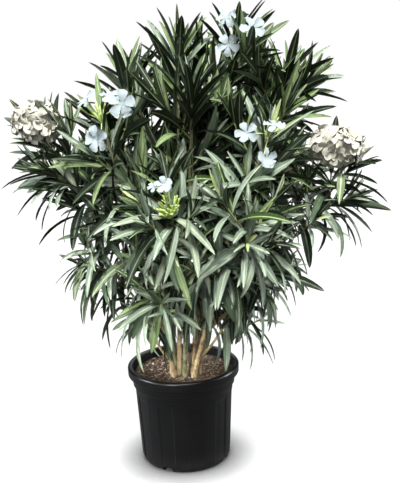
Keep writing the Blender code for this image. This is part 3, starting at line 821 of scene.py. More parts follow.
def growWhorl(sprays, rng, owner, root, along, spin, below, vigour, bright, single=False, tone=None):
    # leaves round a twig; below is the distance down from its growing tip
    count = 1 if single else foliage["whorlLeaves"]
    low = lowness(root.z)
    after = [byHeight(name, low) for name in ("angleAfter", "fullAfter", "sagAfter")]
    age, full, old = (min(1, below / distance) for distance in after)
    young = byHeight("youngLength", low)
    bend, agedBend, hungBend = foliage["bend"]
    (sag, oldSag), (twist, oldTwist) = foliage["sag"], foliage["twist"]
    tone = toneOf(rng, below, root, bright) if tone is None else tone
    for number in range(count):
        if not single and root.z < foliage["thinBelow"] and rng.random() < foliage["thin"]:
            continue
        side = aroundVector(along, spin + number * tau / count + rng.uniform(*foliage["spinSpread"]))
        angle = foliage["youngAngle"] + (foliage["oldAngle"] - foliage["youngAngle"]) * age ** 0.5
        angle += rng.uniform(*foliage["angleSpread"]) * (1 + low)
        direction = (along * math.cos(angle) + side * math.sin(angle)).normalized()
        hang = up * foliage["hang"] * old * low * rng.uniform(*foliage["hangSpread"])
        direction = (direction - hang).normalized()
        across = along.cross(direction)
        if across.length < 0.05:
            across = direction.orthogonal()
        length = byHeight("length", low) * (young + (1 - young) * full)
        length *= rng.uniform(*foliage["lengthSpread"]) * vigour
        width = byHeight("width", low) * (foliage["youngWidth"] + (1 - foliage["youngWidth"]) * full)
        sprays.leaf(
            root=root - direction * 0.001, direction=direction, across=across.normalized(),
            length=length, width=width * rng.uniform(*foliage["widthSpread"]),
            bend=bend + (agedBend * age + hungBend * old * low) * rng.uniform(*foliage["bendSpread"]),
            sag=(sag + oldSag * old * (foliage["sagHigh"] + low)) * rng.uniform(*foliage["sagSpread"]),
            twist=rng.uniform(-twist, twist) + oldTwist * old * rng.uniform(-1, 1),
            fold=foliage["fold"] * (1 - foliage["foldLost"] * age) * rng.uniform(*foliage["foldSpread"]),
            wave=rng.uniform(0, foliage["wave"]), phase=rng.uniform(0, tau), keel=foliage["keel"],
            tone=tone, owner=owner, stray=single)


def leafOut(sprays, rng, owner, pointAt, length, spin, vigour=1.0):
    # whorls down a twig from its growing tip; pointAt(distance below the tip) gives place and direction
    below, number = 0.003, 0
    bright = rng.random() < youngTones["budShoots"]
    while below < length:
        root, along = pointAt(below)
        turn = spin + number * math.pi / foliage["whorlLeaves"]
        growWhorl(sprays, rng, owner, root - along * 0.001, along, turn, below, vigour, bright)
        low, ageing = lowness(root.z), min(1, below / foliage["oldAfter"])
        spacing = byHeight("tipSpacing", low) * (1 - ageing) + byHeight("oldSpacing", low) * ageing
        below += spacing * rng.uniform(0.9, 1.1)
        number += 1


def sideTwig(root, leave, length, radius):
    # points and radii of a short twig that turns up
    (out, rise), (first, last), rows = (foliage[name] for name in ("twigEnd", "twigPull", "twigRows"))
    bend = root + leave * length * foliage["twigBend"]
    end = root + leave * length * out + up * length * rise
    points = interpolate_bezier(root, root.lerp(bend, first), bend.lerp(end, last), end, rows)
    return points, [radius + (crown["tipRadius"] - radius) * index / (rows - 1) for index in range(rows)]


def strayLeaves(sprays, rng, owner, limb, onLimb, below, end, spin):
    # old leaves, one at a time, that hang on to a bare stem; returns the turn of the last
    while below < end:
        root, along = onLimb(below)
        outward = bearingVector(limb.bearing + rng.uniform(-foliage["strayFacing"], foliage["strayFacing"]))
        turns = [n * tau / 16 for n in range(16)]
        spin = max(turns, key=lambda turn: aroundVector(along, turn).dot(outward))
        tone = tones.index(rng.choice(("sage", "sage", "pale")))
        growWhorl(sprays, rng, owner, root, along, spin, 0.4, 1.12, False, True, tone)
        below += foliage["straySpacing"] * rng.uniform(0.7, 1.3)
    return spin


def growMass(sprays, twigs, owner, limb):
    spin = random.Random(crown["seed"] + owner).uniform(0, tau)  # the same first draw as the solids'
    rng = random.Random(foliage["finerSeed"] + owner)
    leafy = limb.leafyShare
    whole = pathLength(limb.fine)

    def onLimb(below):
        share = 1 - below / whole
        return limb.point(share), limb.along(share)

    leafyLength = whole * (1 - leafy)
    leafOut(sprays, rng, owner, onLimb, leafyLength * foliage["leafyPart"][limb.tier], spin)
    if limb.parent is None:
        end = whole * (1 - foliage["strayFrom"])
        spin = strayLeaves(sprays, rng, owner, limb, onLimb, leafyLength, end, spin)
    (thick, thin), (ownTurn, finerTurn) = foliage["twigRadii"], foliage["twigTurns"]
    first, step = foliage["twigPlaces"]
    plan = [(first + step * n, spin + ownTurn + n * math.pi, thick, 1.0)
            for n in range(foliage["sourceTwigs"])]
    finer = foliage["finerTwigs"][limb.tier] + foliage["moreTwigs"].get(limb.name, 0)
    first, part = foliage["finerPlaces"]
    plan += [(first + part * n / finer, spin + finerTurn + n * goldenTurn, thin,
              rng.uniform(*foliage["finerSizes"])) for n in range(finer)]
    onwards, outwards = foliage["twigLeave"]
    for place, turn, radius, size in plan:
        share = leafy + (1 - leafy) * place
        along = limb.along(share)
        leave = (along * onwards + aroundVector(along, turn) * outwards).normalized()
        length = foliage["twigLength"] * size * rng.uniform(*foliage["twigLengthSpread"])
        points, radii = sideTwig(limb.point(share), leave, length, radius)
        twigs.append((points, radii))
        total = pathLength(points)

        def onTwig(below, points=points, total=total):
            where = (1 - below / total) * (len(points) - 1)
            index = min(max(int(where), 0), len(points) - 2)
            along = (points[index + 1] - points[index]).normalized()
            return points[index].lerp(points[index + 1], where - index), along

        leafOut(sprays, rng, owner, onTwig, total * foliage["twigLeafyPart"], rng.uniform(0, tau),
                rng.uniform(*foliage["twigVigour"]))


def leafHalfWidth(share, blades):
    # a short stalk, then a lance that is widest a little before its middle
    t = max(0.0, (share - 0.035) / 0.965)
    lance = math.sin(math.pi * t ** 0.96) ** 0.62 if 0 < t < 1 else 0.0
    return np.maximum(blades["width"] / 2 * lance, 0.0011 * (1 - share))


# fresh flowers: middle of the mouth from the tip of its shoot, bearing and height angle that it faces, size
freshHeads = {
    "top_right": (
        ((-0.024, -0.060, 0.047), 250, 30, 0.80),
        ((0.037, -0.060, 0.023), 285, 25, 0.92),
        ((-0.019, -0.065, -0.013), 250, 12, 0.84),
        ((0.010, 0.035, 0.040), 80, 40, 0.95),
    ),
    "front_left": (
        ((0.050, -0.055, 0.047), 272, 12, 1.02),
        ((-0.007, -0.060, -0.027), 245, -4, 0.98),
        ((-0.030, -0.036, 0.056), 225, 40, 0.80),
        ((0.020, 0.010, 0.060), 285, 60, 0.80),
    ),
    "front_right": (
        ((-0.049, -0.055, 0.020), 255, 15, 0.80),
        ((-0.007, -0.060, -0.036), 300, 18, 0.80),
        ((0.013, -0.035, 0.032), 290, 68, 0.78),
    ),
    "flank_front_left": (
        ((-0.008, -0.008, 0.042), 262, 34, 0.66),
        ((-0.030, -0.004, 0.038), 230, 45, 0.42),
    ),
    "top_back": (
        ((0.020, 0.035, 0.030), 80, 25, 1.05),
        ((-0.035, 0.030, 0.025), 110, 15, 1.00),
        ((-0.005, 0.020, 0.055), 95, 60, 0.90),
    ),
    "flank_back_left": (
        ((-0.020, 0.035, 0.030), 130, 20, 1.05),
        ((-0.045, 0.000, 0.030), 175, 25, 0.95),
        ((0.005, 0.040, 0.010), 95, 5, 1.00),
    ),
}

# faded heads: middle from the tip of the shoot, bearing that the head faces, flowers, radius of the head
fadedHeads = {
    "flank_left": ((-0.008, -0.030, 0.042), 258, 22, 0.048),
    "flank_right": ((-0.042, -0.030, 0.048), 275, 28, 0.056),
}

# tufts of buds that show, as fresh flowers are given
budTufts = {
    "flank_front_left": (((0.0, -0.012, -0.014), 268, 12, 1.3),),
    "front_left": (((0.004, -0.030, -0.004), 262, 8, 0.6),),
}

leafShares = (0.0, 0.045, 0.10, 0.18, 0.28, 0.40, 0.52, 0.64, 0.76, 0.86, 0.94, 1.0)
leafForm = BladeForm(leafShares, 0.14, 0.0012, True)


def distanceToAxes(points, starts, ends):
    # (points, axes) distances to segments
    runs = ends - starts
    offset = points[:, None] - starts[None]
    share = np.clip(np.sum(offset * runs[None], axis=2) / np.sum(runs * runs, axis=1)[None], 0, 1)
    return np.linalg.norm(offset - runs[None] * share[..., None], axis=2)


def keepsToSpace(points, owners):
    # a leaf's outer half stays in its own mass's space, as the solids' leaves do
    starts = np.array([limb.point(limb.leafyShare) for limb in limbs])
    ends = np.array([limb.tip + limb.along(1) * foliage["spaceReach"] for limb in limbs])
    keep, leaf = np.ones(len(points), bool), np.arange(len(points))
    for ring in (6, 9, 11):
        distances = distanceToAxes(points[:, ring * 6: ring * 6 + 6].mean(axis=1), starts, ends)
        own = distances[leaf, owners]
        distances[leaf, owners] = np.inf
        keep &= own < distances.min(axis=1) + foliage["border"]
    return keep


def clearOfPot(points):
    rim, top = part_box("pot")[1].x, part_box("pot")[1].z
    gap, (drop, reach) = foliage["potGap"], foliage["overhang"]
    radius, z = np.hypot(points[..., 0], points[..., 1]), points[..., 2]
    inWall = (z < top + gap) & (radius < rim + gap) & (radius > rim - foliage["rimWidth"])
    inSoil = (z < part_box("soil")[1].z + gap) & (radius <= rim - foliage["rimWidth"])
    hangsOver = (z < top - drop) & (radius < rim + reach)
    return ~np.any(inWall | inSoil | hangsOver, axis=1)


def clearOfFlowers(points):
    # no leaf crosses a flower, a tuft of buds or a faded head, or stands close before it
    views = [(head, *view) for heads in (freshHeads, budTufts)
             for head, group in heads.items() for view in group]
    views += [(head, offset, bearing, foliage["fadedHeight"], radius / foliage["fadedSize"])
              for head, (offset, bearing, _, radius) in fadedHeads.items()]
    clear = np.ones(len(points), bool)
    for head, offset, bearing, height, size in views:
        facing = np.array(direct(bearing, height))
        run = points - np.array(limbNamed[head].tip + Vector(offset))
        ahead = run @ facing
        aside = np.linalg.norm(run - ahead[..., None] * facing, axis=2)
        before = (ahead > -foliage["flowerBack"]) & (ahead < foliage["flowerView"])
        clear &= ~np.any(before & (aside < foliage["flowerWidth"] * size), axis=1)
    return clear


def clearOfStems(points):
    # the stems show under the crown, as only some leaves hang before them
    low, high = foliage["stemView"]
    least, most = foliage["stemViewHeights"]
    x, y, z = (points[..., axis] for axis in range(3))
    level = z + foliage["stemViewRise"] * y
    before = (x > low[0]) & (x < high[0]) & (y > low[1]) & (y < high[1]) & (level > least) & (level < most)
    spared = np.random.default_rng(crown["seed"]).random(len(points)) < foliage["stemViewKept"]
    return spared | (before.mean(axis=1) < foliage["stemViewTouch"])


def insideBox(points):
    low, high = (np.array(corner) for corner in cadBox)
    gap = np.array(foliage["boxGap"])
    return np.all((points > low - gap) & (points < high + gap), axis=(1, 2))


# Looks of the leaves: each tone's colour and gloss, and the rib and the back that go with it.

leafTones = {
    "deep": ((0.0215, 0.0410, 0.0105), 0.20, "darkRib", "darkBack"),
    "green": ((0.092, 0.140, 0.052), 0.28, "darkRib", "darkBack"),
    "moss": ((0.040, 0.064, 0.034), 0.24, "dullRib", "leafBack"),
    "sage": ((0.130, 0.181, 0.122), 0.48, "paleRib", "leafBack"),
    "pale": ((0.190, 0.238, 0.154), 0.40, "paleRib", "paleBack"),
    "fresh": ((0.098, 0.134, 0.064), 0.34, "paleRib", "leafBack"),
    # the shade tone is painted shade: near-black leaves put where the crown is shaded
    "shade": ((0.009, 0.015, 0.008), 0.10, "dullRib", "darkBack"),
    "bud": ((0.330, 0.400, 0.100), 0.30, "paleRib", "paleBack"),
}
ribColours = {
    "darkRib": (0.275, 0.340, 0.165),
    "paleRib": (0.430, 0.500, 0.350),
    "dullRib": (0.110, 0.140, 0.085),
}
# undersides, darker than most blades they back: partly their own colour, partly painted shade for the
# crown's inside
backColours = {
    "darkBack": (0.016, 0.026, 0.012),
    "leafBack": (0.055, 0.075, 0.047),
    "paleBack": (0.190, 0.225, 0.165),
}
leafLook = {
    "scales": (16.0, 260.0),  # of the patches and of the grain
    "shadow": 0.66,  # share of the colour in the dark patches, partly painted shadow
    "streakShare": 0.80,
    "veinShare": 0.20,
    "marginShare": 0.45,
    "margin": 0.5,
    "roughSpread": 0.16,
}


def lighter(colour, factor, power):
    # lighter tints for the streaks, veins and light patches, partly painted sheen; the pale tones are lifted
    # less
    return tuple(min(part * factor, part ** power) for part in colour)


def leafMaterial(name, colour, roughness, gloss, veinAndSheenTint, patchTint):
    look = Look(name, Roughness=roughness, Specular_IOR_Level=gloss)
    veins = look.use(sideVeins, look.ownMap())
    patches, grain = look.mottled(*leafLook["scales"])
    # patches and lengthwise streaks lighten and darken each blade in places: partly its own tone, partly
    # painted sheen and shadow
    patchy = look.mix(look.mask(patches, 0.32, 0.66), scaled(colour, leafLook["shadow"]), patchTint)
    streaks = look.mask(veins["Streaks"], 0.34, 0.66)
    lined = look.mix(look.times(streaks, leafLook["streakShare"]), patchy, veinAndSheenTint)
    veined = look.mix(look.times(veins["Veins"], leafLook["veinShare"]), lined, veinAndSheenTint)
    edge = scaled(colour, leafLook["margin"])
    look.give("Base Color", look.mix(look.times(veins["Margin"], leafLook["marginShare"]), veined, edge))
    spread = leafLook["roughSpread"]
    look.give("Roughness", look.maths("MULTIPLY_ADD", grain, spread, roughness - spread / 2))
    look.relief(veins["Height"], 0.0005, 0.8)
    return look.material


def leafFinishes():
    # the finishes, and for each tone the numbers of its blade's, its rib's and its underside's
    made = {}
    for name, (colour, gloss, _, _) in leafTones.items():
        tints = lighter(colour, 1.9, 0.70), lighter(colour, 1.4, 0.88)
        made[name] = leafMaterial(name + "Leaf", colour, 0.34, gloss, *tints)
    for colours, roughness, gloss, tint in ((ribColours, 0.50, 0.25, 1.2), (backColours, 0.60, 0.2, 1.3)):
        for name, colour in colours.items():
            tints = scaled(colour, tint), scaled(colour, 0.85)
            made[name] = leafMaterial(name, colour, roughness, gloss, *tints)
    order = list(made)
    table = [[order.index(name) for name in (tone, *looks[2:])] for tone, looks in leafTones.items()]
    return list(made.values()), table


sprays, twigCurves = Sprays(), []
for owner, limb in enumerate(limbs):
    growMass(sprays, twigCurves, owner, limb)
leaves = sprays.arrays()
leafPoints = leafForm.points(leaves, leafHalfWidth)
kept = keepsToSpace(leafPoints, leaves["owner"]) | leaves["stray"]
for keeps in (clearOfPot, clearOfFlowers, clearOfStems, insideBox):
    kept &= keeps(leafPoints)
print("leaves grown:", len(kept), "kept:", int(kept.sum()))

finishes, toneTable = leafFinishes()
for tier, names in crown["tiers"].items():
    owners = [index for index, limb in enumerate(limbs) if limb.tier == tier]
    chosen = kept & np.isin(leaves["owner"], owners)
    gathered = leafForm.gather("leaves_" + tier, finishes, leafPoints[chosen], leaves["tone"][chosen],
                               toneTable, leaves["length"][chosen])
    finished(gathered.piece(60), ["foliage_" + name for name in names])

greenTwig = twoToneMaterial(
    "greenTwig", ((0.130, 0.170, 0.050), (0.260, 0.290, 0.100)), 0.6, (40.0, 600.0), 0.0004, 0.6)
twigs = Gathered("side_twigs", [greenTwig])
for points, radii in twigCurves:
    twigs.addTube(points, radii, 7)
finished(twigs.piece())


# Blossom: funnels with five skewed petals, on stalks from the shoot's tip, with buds round them.

blossom = {
    "petals": 5,
    "petalLength": 0.0285,
    "petalLengthSpread": (0.92, 1.08),
    "petalWidth": 0.0230,
    "petalWidthSpread": (0.9, 1.2),
    "petalSag": 0.05,
    "petalTwist": 0.35,
    "petalFold": (0.05, 0.25),
    "petalKeel": 0.0005,
    "curlSpread": (0.5, 1.5),
    "waveSpread": (0.4, 1.0),
    "skew": 0.14,  # how far each petal leans the same way round
    "tubeLength": 0.020,
    "tubeRadius": 0.0016,
    "throatRadius": 0.0040,
    "cupRadii": (0.0010, 0.0022, 0.0019),  # of the green cup under a flower
    "openAngle": math.radians(72),  # of a petal from the flower's axis
    "openSpread": (0.72, 1.22),
    "stalkRadius": 0.0010,
    "budStalkRadius": 0.0008,
    "rootDrop": 0.004,  # how far below the shoot's tip a flower's stalk starts
    # buds: how many, how wide they open, which way they lean, how far below the tip their stalks start
    "buds": {
        "front_left": (14, 1.1, (0, 0, 0), 0.003),
        "flank_front_left": (110, 1.15, (-0.24, -0.12, 0.22), 0.046),  # a dense tuft
    },
    "otherBuds": (8, 1.1, (0, 0, 0), 0.003),
    "budReach": (0.006, 0.042),
    "budLength": 0.021,
    "budLengthSpread": (0.7, 1.2),
    "budRadius": 0.0024,
    "budRadiusSpread": (0.8, 1.1),
    "budOpensFrom": 0.1,  # how wide the innermost bud stands
    "budShape": ((0, 0.45), (0.2, 0.85), (0.5, 0.8), (0.8, 1.0), (0.95, 0.5), (1.0, 0.12)),  # share, width
    "greenBuds": 0.8,
    "fadedHeight": 34,  # height angle that a faded head faces
    "fadedRound": 1.15,  # how far round its back the flowers go
    "fadedStretch": (1.2, 0.85),  # of a faded head in x and in z
    "fadedDepth": (0.64, 0.92),  # where its flowers stand, as a share of its radius
    "fadedOpen": 0.9,
    "fadedSizes": (0.78, 0.98),
    "seeds": {"fresh": 300, "faded": 500},
}


def petalHalfWidth(share, blades):
    # narrow in the throat, broad and blunt towards the tip
    body = 0.20 + 0.80 * math.sin(min(1.0, share / 0.74) * math.pi / 2) ** 1.4
    end = max(0.0, 1 - max(0.0, (share - 0.70) / 0.30) ** 3.0) ** 0.55
    return blades["width"] / 2 * (body * end + 0.02)


petalForm = BladeForm((0.0, 0.12, 0.27, 0.42, 0.56, 0.69, 0.80, 0.89, 0.955, 0.99, 1.0), 0.42, 0.0003, False)


def petalMaterial(name, colour, stain, stainShare):
    look = Look(name, Roughness=0.60, Specular_IOR_Level=0.25, Sheen_Weight=0.20)
    patches, grain = look.mottled(55.0, 420.0)
    veins = look.use(sideVeins, look.ownMap(), 5.0, -4.0)["Veins"]
    stained = look.mix(look.times(look.mask(patches, 0.50, 0.68), stainShare), colour, stain)
    look.give("Base Color", look.mix(look.times(veins, 0.10), stained, scaled(colour, 0.8)))
    look.relief(look.maths("ADD", veins, grain), 0.0004, 0.45)
    return look.material


class Flowers:
    # petals, tubes, stalks and buds of one kind of blossom, gathered over all of its heads
    def __init__(self, name, petal, green, curl, wave):
        self.name = name
        self.finishes = [petal, green]
        self.sprays = Sprays()
        self.tubes = Gathered(name + "_stalks", [green, petal])
        self.curl, self.wave = curl, wave

    def stalk(self, start, end, leave, radius):
        reach = (end - start).length
        points = interpolate_bezier(start, start + leave * reach * 0.4, end - (end - start) * 0.25, end, 7)
        self.tubes.addTube(points, [radius] * 7, 6)

    def flower(self, rng, middle, facing, size, root, along, openShare=1.0):
        rim, thin = blossom["throatRadius"] * size, blossom["tubeRadius"]
        base = middle - facing * blossom["tubeLength"] * size
        self.tubes.addTube([base, base.lerp(middle, 0.35), base.lerp(middle, 0.8), middle],
                           [thin * size, thin * 1.1 * size, rim * 0.8, rim], 10, 1)
        self.tubes.addTube([base - facing * 0.002, base, base + facing * 0.004], blossom["cupRadii"], 6)
        self.stalk(root, base - facing * 0.001, along, blossom["stalkRadius"])
        spin, twist = rng.uniform(0, tau), blossom["petalTwist"]
        for number in range(blossom["petals"]):
            outward = aroundVector(facing, spin + number * tau / blossom["petals"])
            angle = blossom["openAngle"] * openShare * rng.uniform(*blossom["openSpread"])
            direction = (facing * math.cos(angle) + outward * math.sin(angle)).normalized()
            direction = (direction + facing.cross(outward) * blossom["skew"]).normalized()
            self.sprays.leaf(
                root=middle + outward * rim * 0.75 - facing * 0.001, direction=direction,
                across=facing.cross(direction).normalized(),
                length=blossom["petalLength"] * size * rng.uniform(*blossom["petalLengthSpread"]),
                width=blossom["petalWidth"] * size * rng.uniform(*blossom["petalWidthSpread"]),
                bend=self.curl * rng.uniform(*blossom["curlSpread"]), sag=blossom["petalSag"],
                twist=twist + rng.uniform(-twist, twist), fold=rng.uniform(*blossom["petalFold"]),
                wave=rng.uniform(*blossom["waveSpread"]) * self.wave, phase=rng.uniform(0, tau),
                keel=blossom["petalKeel"])

    def bud(self, rng, root, along, direction):
        start = root + direction * rng.uniform(*blossom["budReach"])
        end = start + direction * blossom["budLength"] * rng.uniform(*blossom["budLengthSpread"])
        radius = blossom["budRadius"] * rng.uniform(*blossom["budRadiusSpread"])
        self.stalk(root, start, along, blossom["budStalkRadius"])
        points = [start.lerp(end, share) for share, _ in blossom["budShape"]]
        radii = [radius * width for _, width in blossom["budShape"]]
        self.tubes.addTube(points, radii, 7, 0 if rng.random() < blossom["greenBuds"] else 1)

    def pieces(self):
        rows = self.sprays.arrays()
        points = petalForm.points(rows, petalHalfWidth)
        lengths, whole = np.full(len(points), 0.01), np.zeros(len(points), int)
        petals = petalForm.gather(self.name + "_petals", self.finishes, points, whole, ((0, 0, 0),), lengths)
        finished(petals.piece(60))
        finished(self.tubes.piece())


def shootOf(head, seed):
    # a head's shoot, its direction there, where the stalks start, and the head's own random draws
    limb = limbNamed[head]
    along = limb.along(1)
    return limb.tip, along, limb.tip - along * blossom["rootDrop"], random.Random(seed + limbs.index(limb))


stalkGreen = twoToneMaterial(
    "flowerStalk", ((0.430, 0.560, 0.140), (0.620, 0.710, 0.290)), 0.55, (90.0, 500.0), 0.0003, 0.5)
whitePetal = petalMaterial("whitePetal", (0.335, 0.390, 0.405), (0.250, 0.305, 0.330), 0.45)
creamPetal = petalMaterial("creamPetal", (0.505, 0.490, 0.415), (0.46, 0.425, 0.345), 0.50)

fresh = Flowers("white_blossom", whitePetal, stalkGreen, curl=0.7, wave=0.26)
for head, flowers in freshHeads.items():
    tip, along, root, rng = shootOf(head, blossom["seeds"]["fresh"])
    for offset, bearing, height, size in flowers:
        fresh.flower(rng, tip + Vector(offset), direct(bearing, height), size, root, along)
    count, spread, lean, drop = blossom["buds"].get(head, blossom["otherBuds"])
    for number in range(count):
        out = aroundVector(along, number * goldenTurn)
        aside = out * rng.uniform(blossom["budOpensFrom"], spread)
        direction = (along + Vector(lean) + aside).normalized()
        fresh.bud(rng, tip - along * drop, along, direction)
fresh.pieces()

faded = Flowers("faded_blossom", creamPetal, stalkGreen, curl=0.55, wave=0.16)
for head, (offset, bearing, count, radius) in fadedHeads.items():
    tip, along, root, rng = shootOf(head, blossom["seeds"]["faded"])
    front = direct(bearing, blossom["fadedHeight"])
    wide, tall = blossom["fadedStretch"]
    for number in range(count):
        share = (number + 0.5) / count
        polar = math.acos(1 - blossom["fadedRound"] * share)
        out = aroundVector(front, number * goldenTurn)
        facing = (front * math.cos(polar) + out * math.sin(polar)).normalized()
        offMiddle = Vector((facing.x * wide, facing.y, facing.z * tall)) * radius
        place = tip + Vector(offset) + offMiddle * rng.uniform(*blossom["fadedDepth"])
        size = rng.uniform(*blossom["fadedSizes"])
        faded.flower(rng, place, facing, size, root, along, blossom["fadedOpen"])
faded.pieces()


# Pot: turned, with a rolled lip, a collar, sunk panels between flat ones, and drain notches at the foot.

pot = {
    "rimRadius": 0.140,
    "height": 0.250,
    "lipDepth": 0.022,
    "lipRound": 0.0052,
    "collarRadius": 0.130,
    "collarDepth": 0.025,
    "bodyTopRadius": 0.1230,
    "bodyLowRadius": 0.1135,
    "undersideRadius": 0.104,
    "footHeight": 0.016,
    "fluteTop": 0.182,
    "fluteDepth": 0.0025,
    "panels": 20,
    "panelTurns": (-0.5, -0.46, -0.43, -0.38, -0.25, -0.08, 0.08, 0.25, 0.38, 0.43, 0.46),  # in panels
    "firstRaised": math.radians(13.5),
    "stepAngle": math.radians(1.6),  # what the slope between two panels takes of the circle
    "innerRadius": 0.1265,
    "wall": 0.0035,
    "floor": 0.004,
    "notches": 4,
    "notchFirst": math.radians(-115),
    "notchSize": (0.050, 0.024, 0.026),
    "notchOut": 0.012,
    "notchRound": 0.004,
}


def arc(centreX, centreZ, radius, start, end, steps):
    turns = [math.radians(start + (end - start) * n / steps) for n in range(steps + 1)]
    return [(centreX + radius * math.cos(turn), centreZ + radius * math.sin(turn)) for turn in turns]


def between(first, last, steps):
    # points on the way from the first to the last, without the first
    return [tuple(a + (b - a) * n / steps for a, b in zip(first, last)) for n in range(1, steps + 1)]


def insideRadii():
    # inside the wall, at the body's foot and at its top
    return [pot[name] - pot["fluteDepth"] - pot["wall"] for name in ("bodyLowRadius", "bodyTopRadius")]


def potProfile():
    # half section: up the inside, over the lip, down the outside and back under the floor
    top, rim, inner, lipRound = pot["height"], pot["rimRadius"], pot["innerRadius"], pot["lipRound"]
    foot, flute, under = pot["footHeight"], pot["fluteTop"], pot["undersideRadius"]
    collar, bodyTop, bodyLow = pot["collarRadius"], pot["bodyTopRadius"], pot["bodyLowRadius"]
    low, high = insideRadii()
    lipLow = top - pot["lipDepth"]
    collarLow = lipLow - pot["collarDepth"]
    return [
        (low - 0.012, pot["floor"]), (low, foot - 0.006), *between((low, foot), (high, flute), 6),
        (inner - 0.004, collarLow), (inner, top - 0.005),
        *arc(inner + 0.0030, top - 0.0030, 0.0030, 180, 90, 4),
        *arc(rim - lipRound, top - lipRound, lipRound, 90, 0, 7),
        (rim - 0.0002, top - 0.010), (rim - 0.0004, lipLow + 0.0022),
        *arc(rim - 0.0024, lipLow + 0.0018, 0.0020, 0, -90, 4),
        (collar + 0.0014, lipLow - 0.0010), (collar, lipLow - 0.0030),
        *between((collar, lipLow - 0.0030), (collar - 0.0020, collarLow), 4),
        (collar - 0.0028, collarLow - 0.0008), (bodyTop + 0.0008, collarLow - 0.0026),
        (bodyTop, collarLow - 0.0045), (bodyTop - 0.0004, flute + 0.004), (bodyTop - 0.0007, flute),
        *between((bodyTop - 0.0007, flute), (bodyLow, foot), 26),
        (bodyLow - 0.0025, foot - 0.005), (under + 0.0030, 0.0022), (under, 0.0),
    ]


def sunkShare(turn):
    # 0 on a raised panel, 1 on a sunk one, with a short slope between them
    panel = tau / pot["panels"]
    where = ((turn - pot["firstRaised"] + panel / 2) % (2 * panel)) / panel  # 0..1 raised, 1..2 sunk
    edge = min(abs(where - 1), where, 2 - where) * panel
    slope = min(1.0, 0.5 + edge / pot["stepAngle"])
    return slope if where > 1 else 1 - slope


def panelFade(radius, height):
    # 1 where the wall has panels, 0 elsewhere, and a short run between them
    under, over = pot["fluteTop"] - height, height - pot["footHeight"] + 0.002
    if radius <= pot["bodyLowRadius"] - 0.002 or under < 0:
        return 0
    return min(1, under / 0.006) * min(1, max(0, over / 0.004))


def potPiece(finish):
    profile = potProfile()
    panel = tau / pot["panels"]
    turns = [pot["firstRaised"] + (number + share) * panel for number in range(pot["panels"])
             for share in pot["panelTurns"]]
    depths = [pot["fluteDepth"] * sunkShare(turn) for turn in turns]
    points = []
    for radius, height in profile:
        fade = panelFade(radius, height)
        for turn, depth in zip(turns, depths):
            out = radius - depth * fade
            points.append((out * math.cos(turn), out * math.sin(turn), height))
    made = Gathered("pot_shell", [finish])
    made.addRings(points, len(turns), [n / len(profile) for n in range(len(profile))])
    piece = made.piece(32)
    cutNotches(piece)
    finished(piece, ["pot"])


def cutNotches(piece):
    for number in range(pot["notches"]):
        bearing = pot["notchFirst"] + number * tau / pot["notches"]
        bm = bmesh.new()
        bmesh.ops.create_cube(bm, size=1)
        bmesh.ops.scale(bm, verts=bm.verts, vec=pot["notchSize"])
        upper = [edge for edge in bm.edges if all(vertex.co.z > 0 for vertex in edge.verts)]
        bmesh.ops.bevel(bm, geom=upper, offset=pot["notchRound"], segments=3, affect="EDGES")
        cutter = placed("notch", meshOf(bm, "notch"))
        middle = pot["undersideRadius"] + pot["notchOut"]
        cutter.location = (middle * math.cos(bearing), middle * math.sin(bearing), 0)
        cutter.rotation_euler.z = bearing
        cut = piece.modifiers.new("notch", "BOOLEAN")
        cut.operation = "DIFFERENCE"
        cut.object = cutter
        bpy.context.view_layer.update()
        whole = bpy.data.meshes.new_from_object(piece.evaluated_get(bpy.context.evaluated_depsgraph_get()))
        piece.modifiers.clear()
        piece.data = whole
        bpy.data.objects.remove(cutter)


def plasticMaterial():
    look = Look("blackPlastic", Roughness=0.38, Specular_IOR_Level=0.34)
    place = look.place()
    patches, grain = look.mottled(14.0, 900.0)
    height = look.node("ShaderNodeSeparateXYZ", {"Vector": place}, "Z")
    dust = look.times(look.mask(height, 0.0, 0.05, 1, 0), patches)
    scuffs = look.mask(look.streaks(place, (90, 90, 5), 3.0), 0.60, 0.72)
    black = look.mix(look.times(scuffs, 0.25), (0.0010, 0.0010, 0.0012), (0.0060, 0.0060, 0.0066))
    look.give("Base Color", look.mix(look.times(dust, 0.12), black, (0.075, 0.066, 0.055)))
    rough = look.maths("MULTIPLY_ADD", patches, 0.20, 0.22)
    look.give("Roughness", look.maths("ADD", rough, look.times(dust, 0.3)))
    look.relief(grain, 0.00025, 0.35)
    return look.material


potPiece(plasticMaterial())


# Soil: a plug with a lumpy top, and loose bark chips and grit on it.

soil = {
    "top": 0.230,
    "clearance": 0.0006,
    "rings": 34,
    "sides": 110,
    "lumps": 0.0045,
    "mound": (0.003, 0.0022),  # height and squared reach of the rise round the stems
    "chips": 1500,
    "chipSize": (0.0022, 0.0085),
    "grit": 160,
    "gritSize": (0.0018, 0.0034),
    "chipsTo": 0.0105,  # from the pot's inner radius
    "seed": 41,
}


def soilHeight(x, y):
    rough = sum(noise.noise(Vector((x * scale, y * scale, level))) * share
                for scale, level, share in ((42, 0.3, 0.6), (130, 4.1, 0.4)))
    rise, reach = soil["mound"]
    mound = math.exp(-((x - crown["clump"].x) ** 2 + (y - crown["clump"].y) ** 2) / reach)
    return soil["top"] - 0.001 + soil["lumps"] * rough + rise * mound


def soilPiece(finish):
    low, high = insideRadii()
    edge = pot["innerRadius"] - 0.0036 - soil["clearance"]
    gap, sides = soil["clearance"] * 2, soil["sides"]
    points = []
    for radius, height in (
            (low - 0.013, pot["floor"] + 0.0003), (low - gap, pot["footHeight"] - 0.005),
            (high - gap, pot["fluteTop"] + 0.004), (edge - 0.0012, soil["top"] - 0.012)):
        points += circle(radius, sides, height)
    for ring in range(soil["rings"]):
        flat = circle(edge * (1 - ring / soil["rings"]), sides, 0)
        points += [(x, y, soilHeight(x, y)) for x, y, _ in flat]
    made = Gathered("potting_mix", [finish])
    made.addRings(points, sides, [n / 40 for n in range(len(points) // sides)])
    finished(made.piece(60), ["soil"])


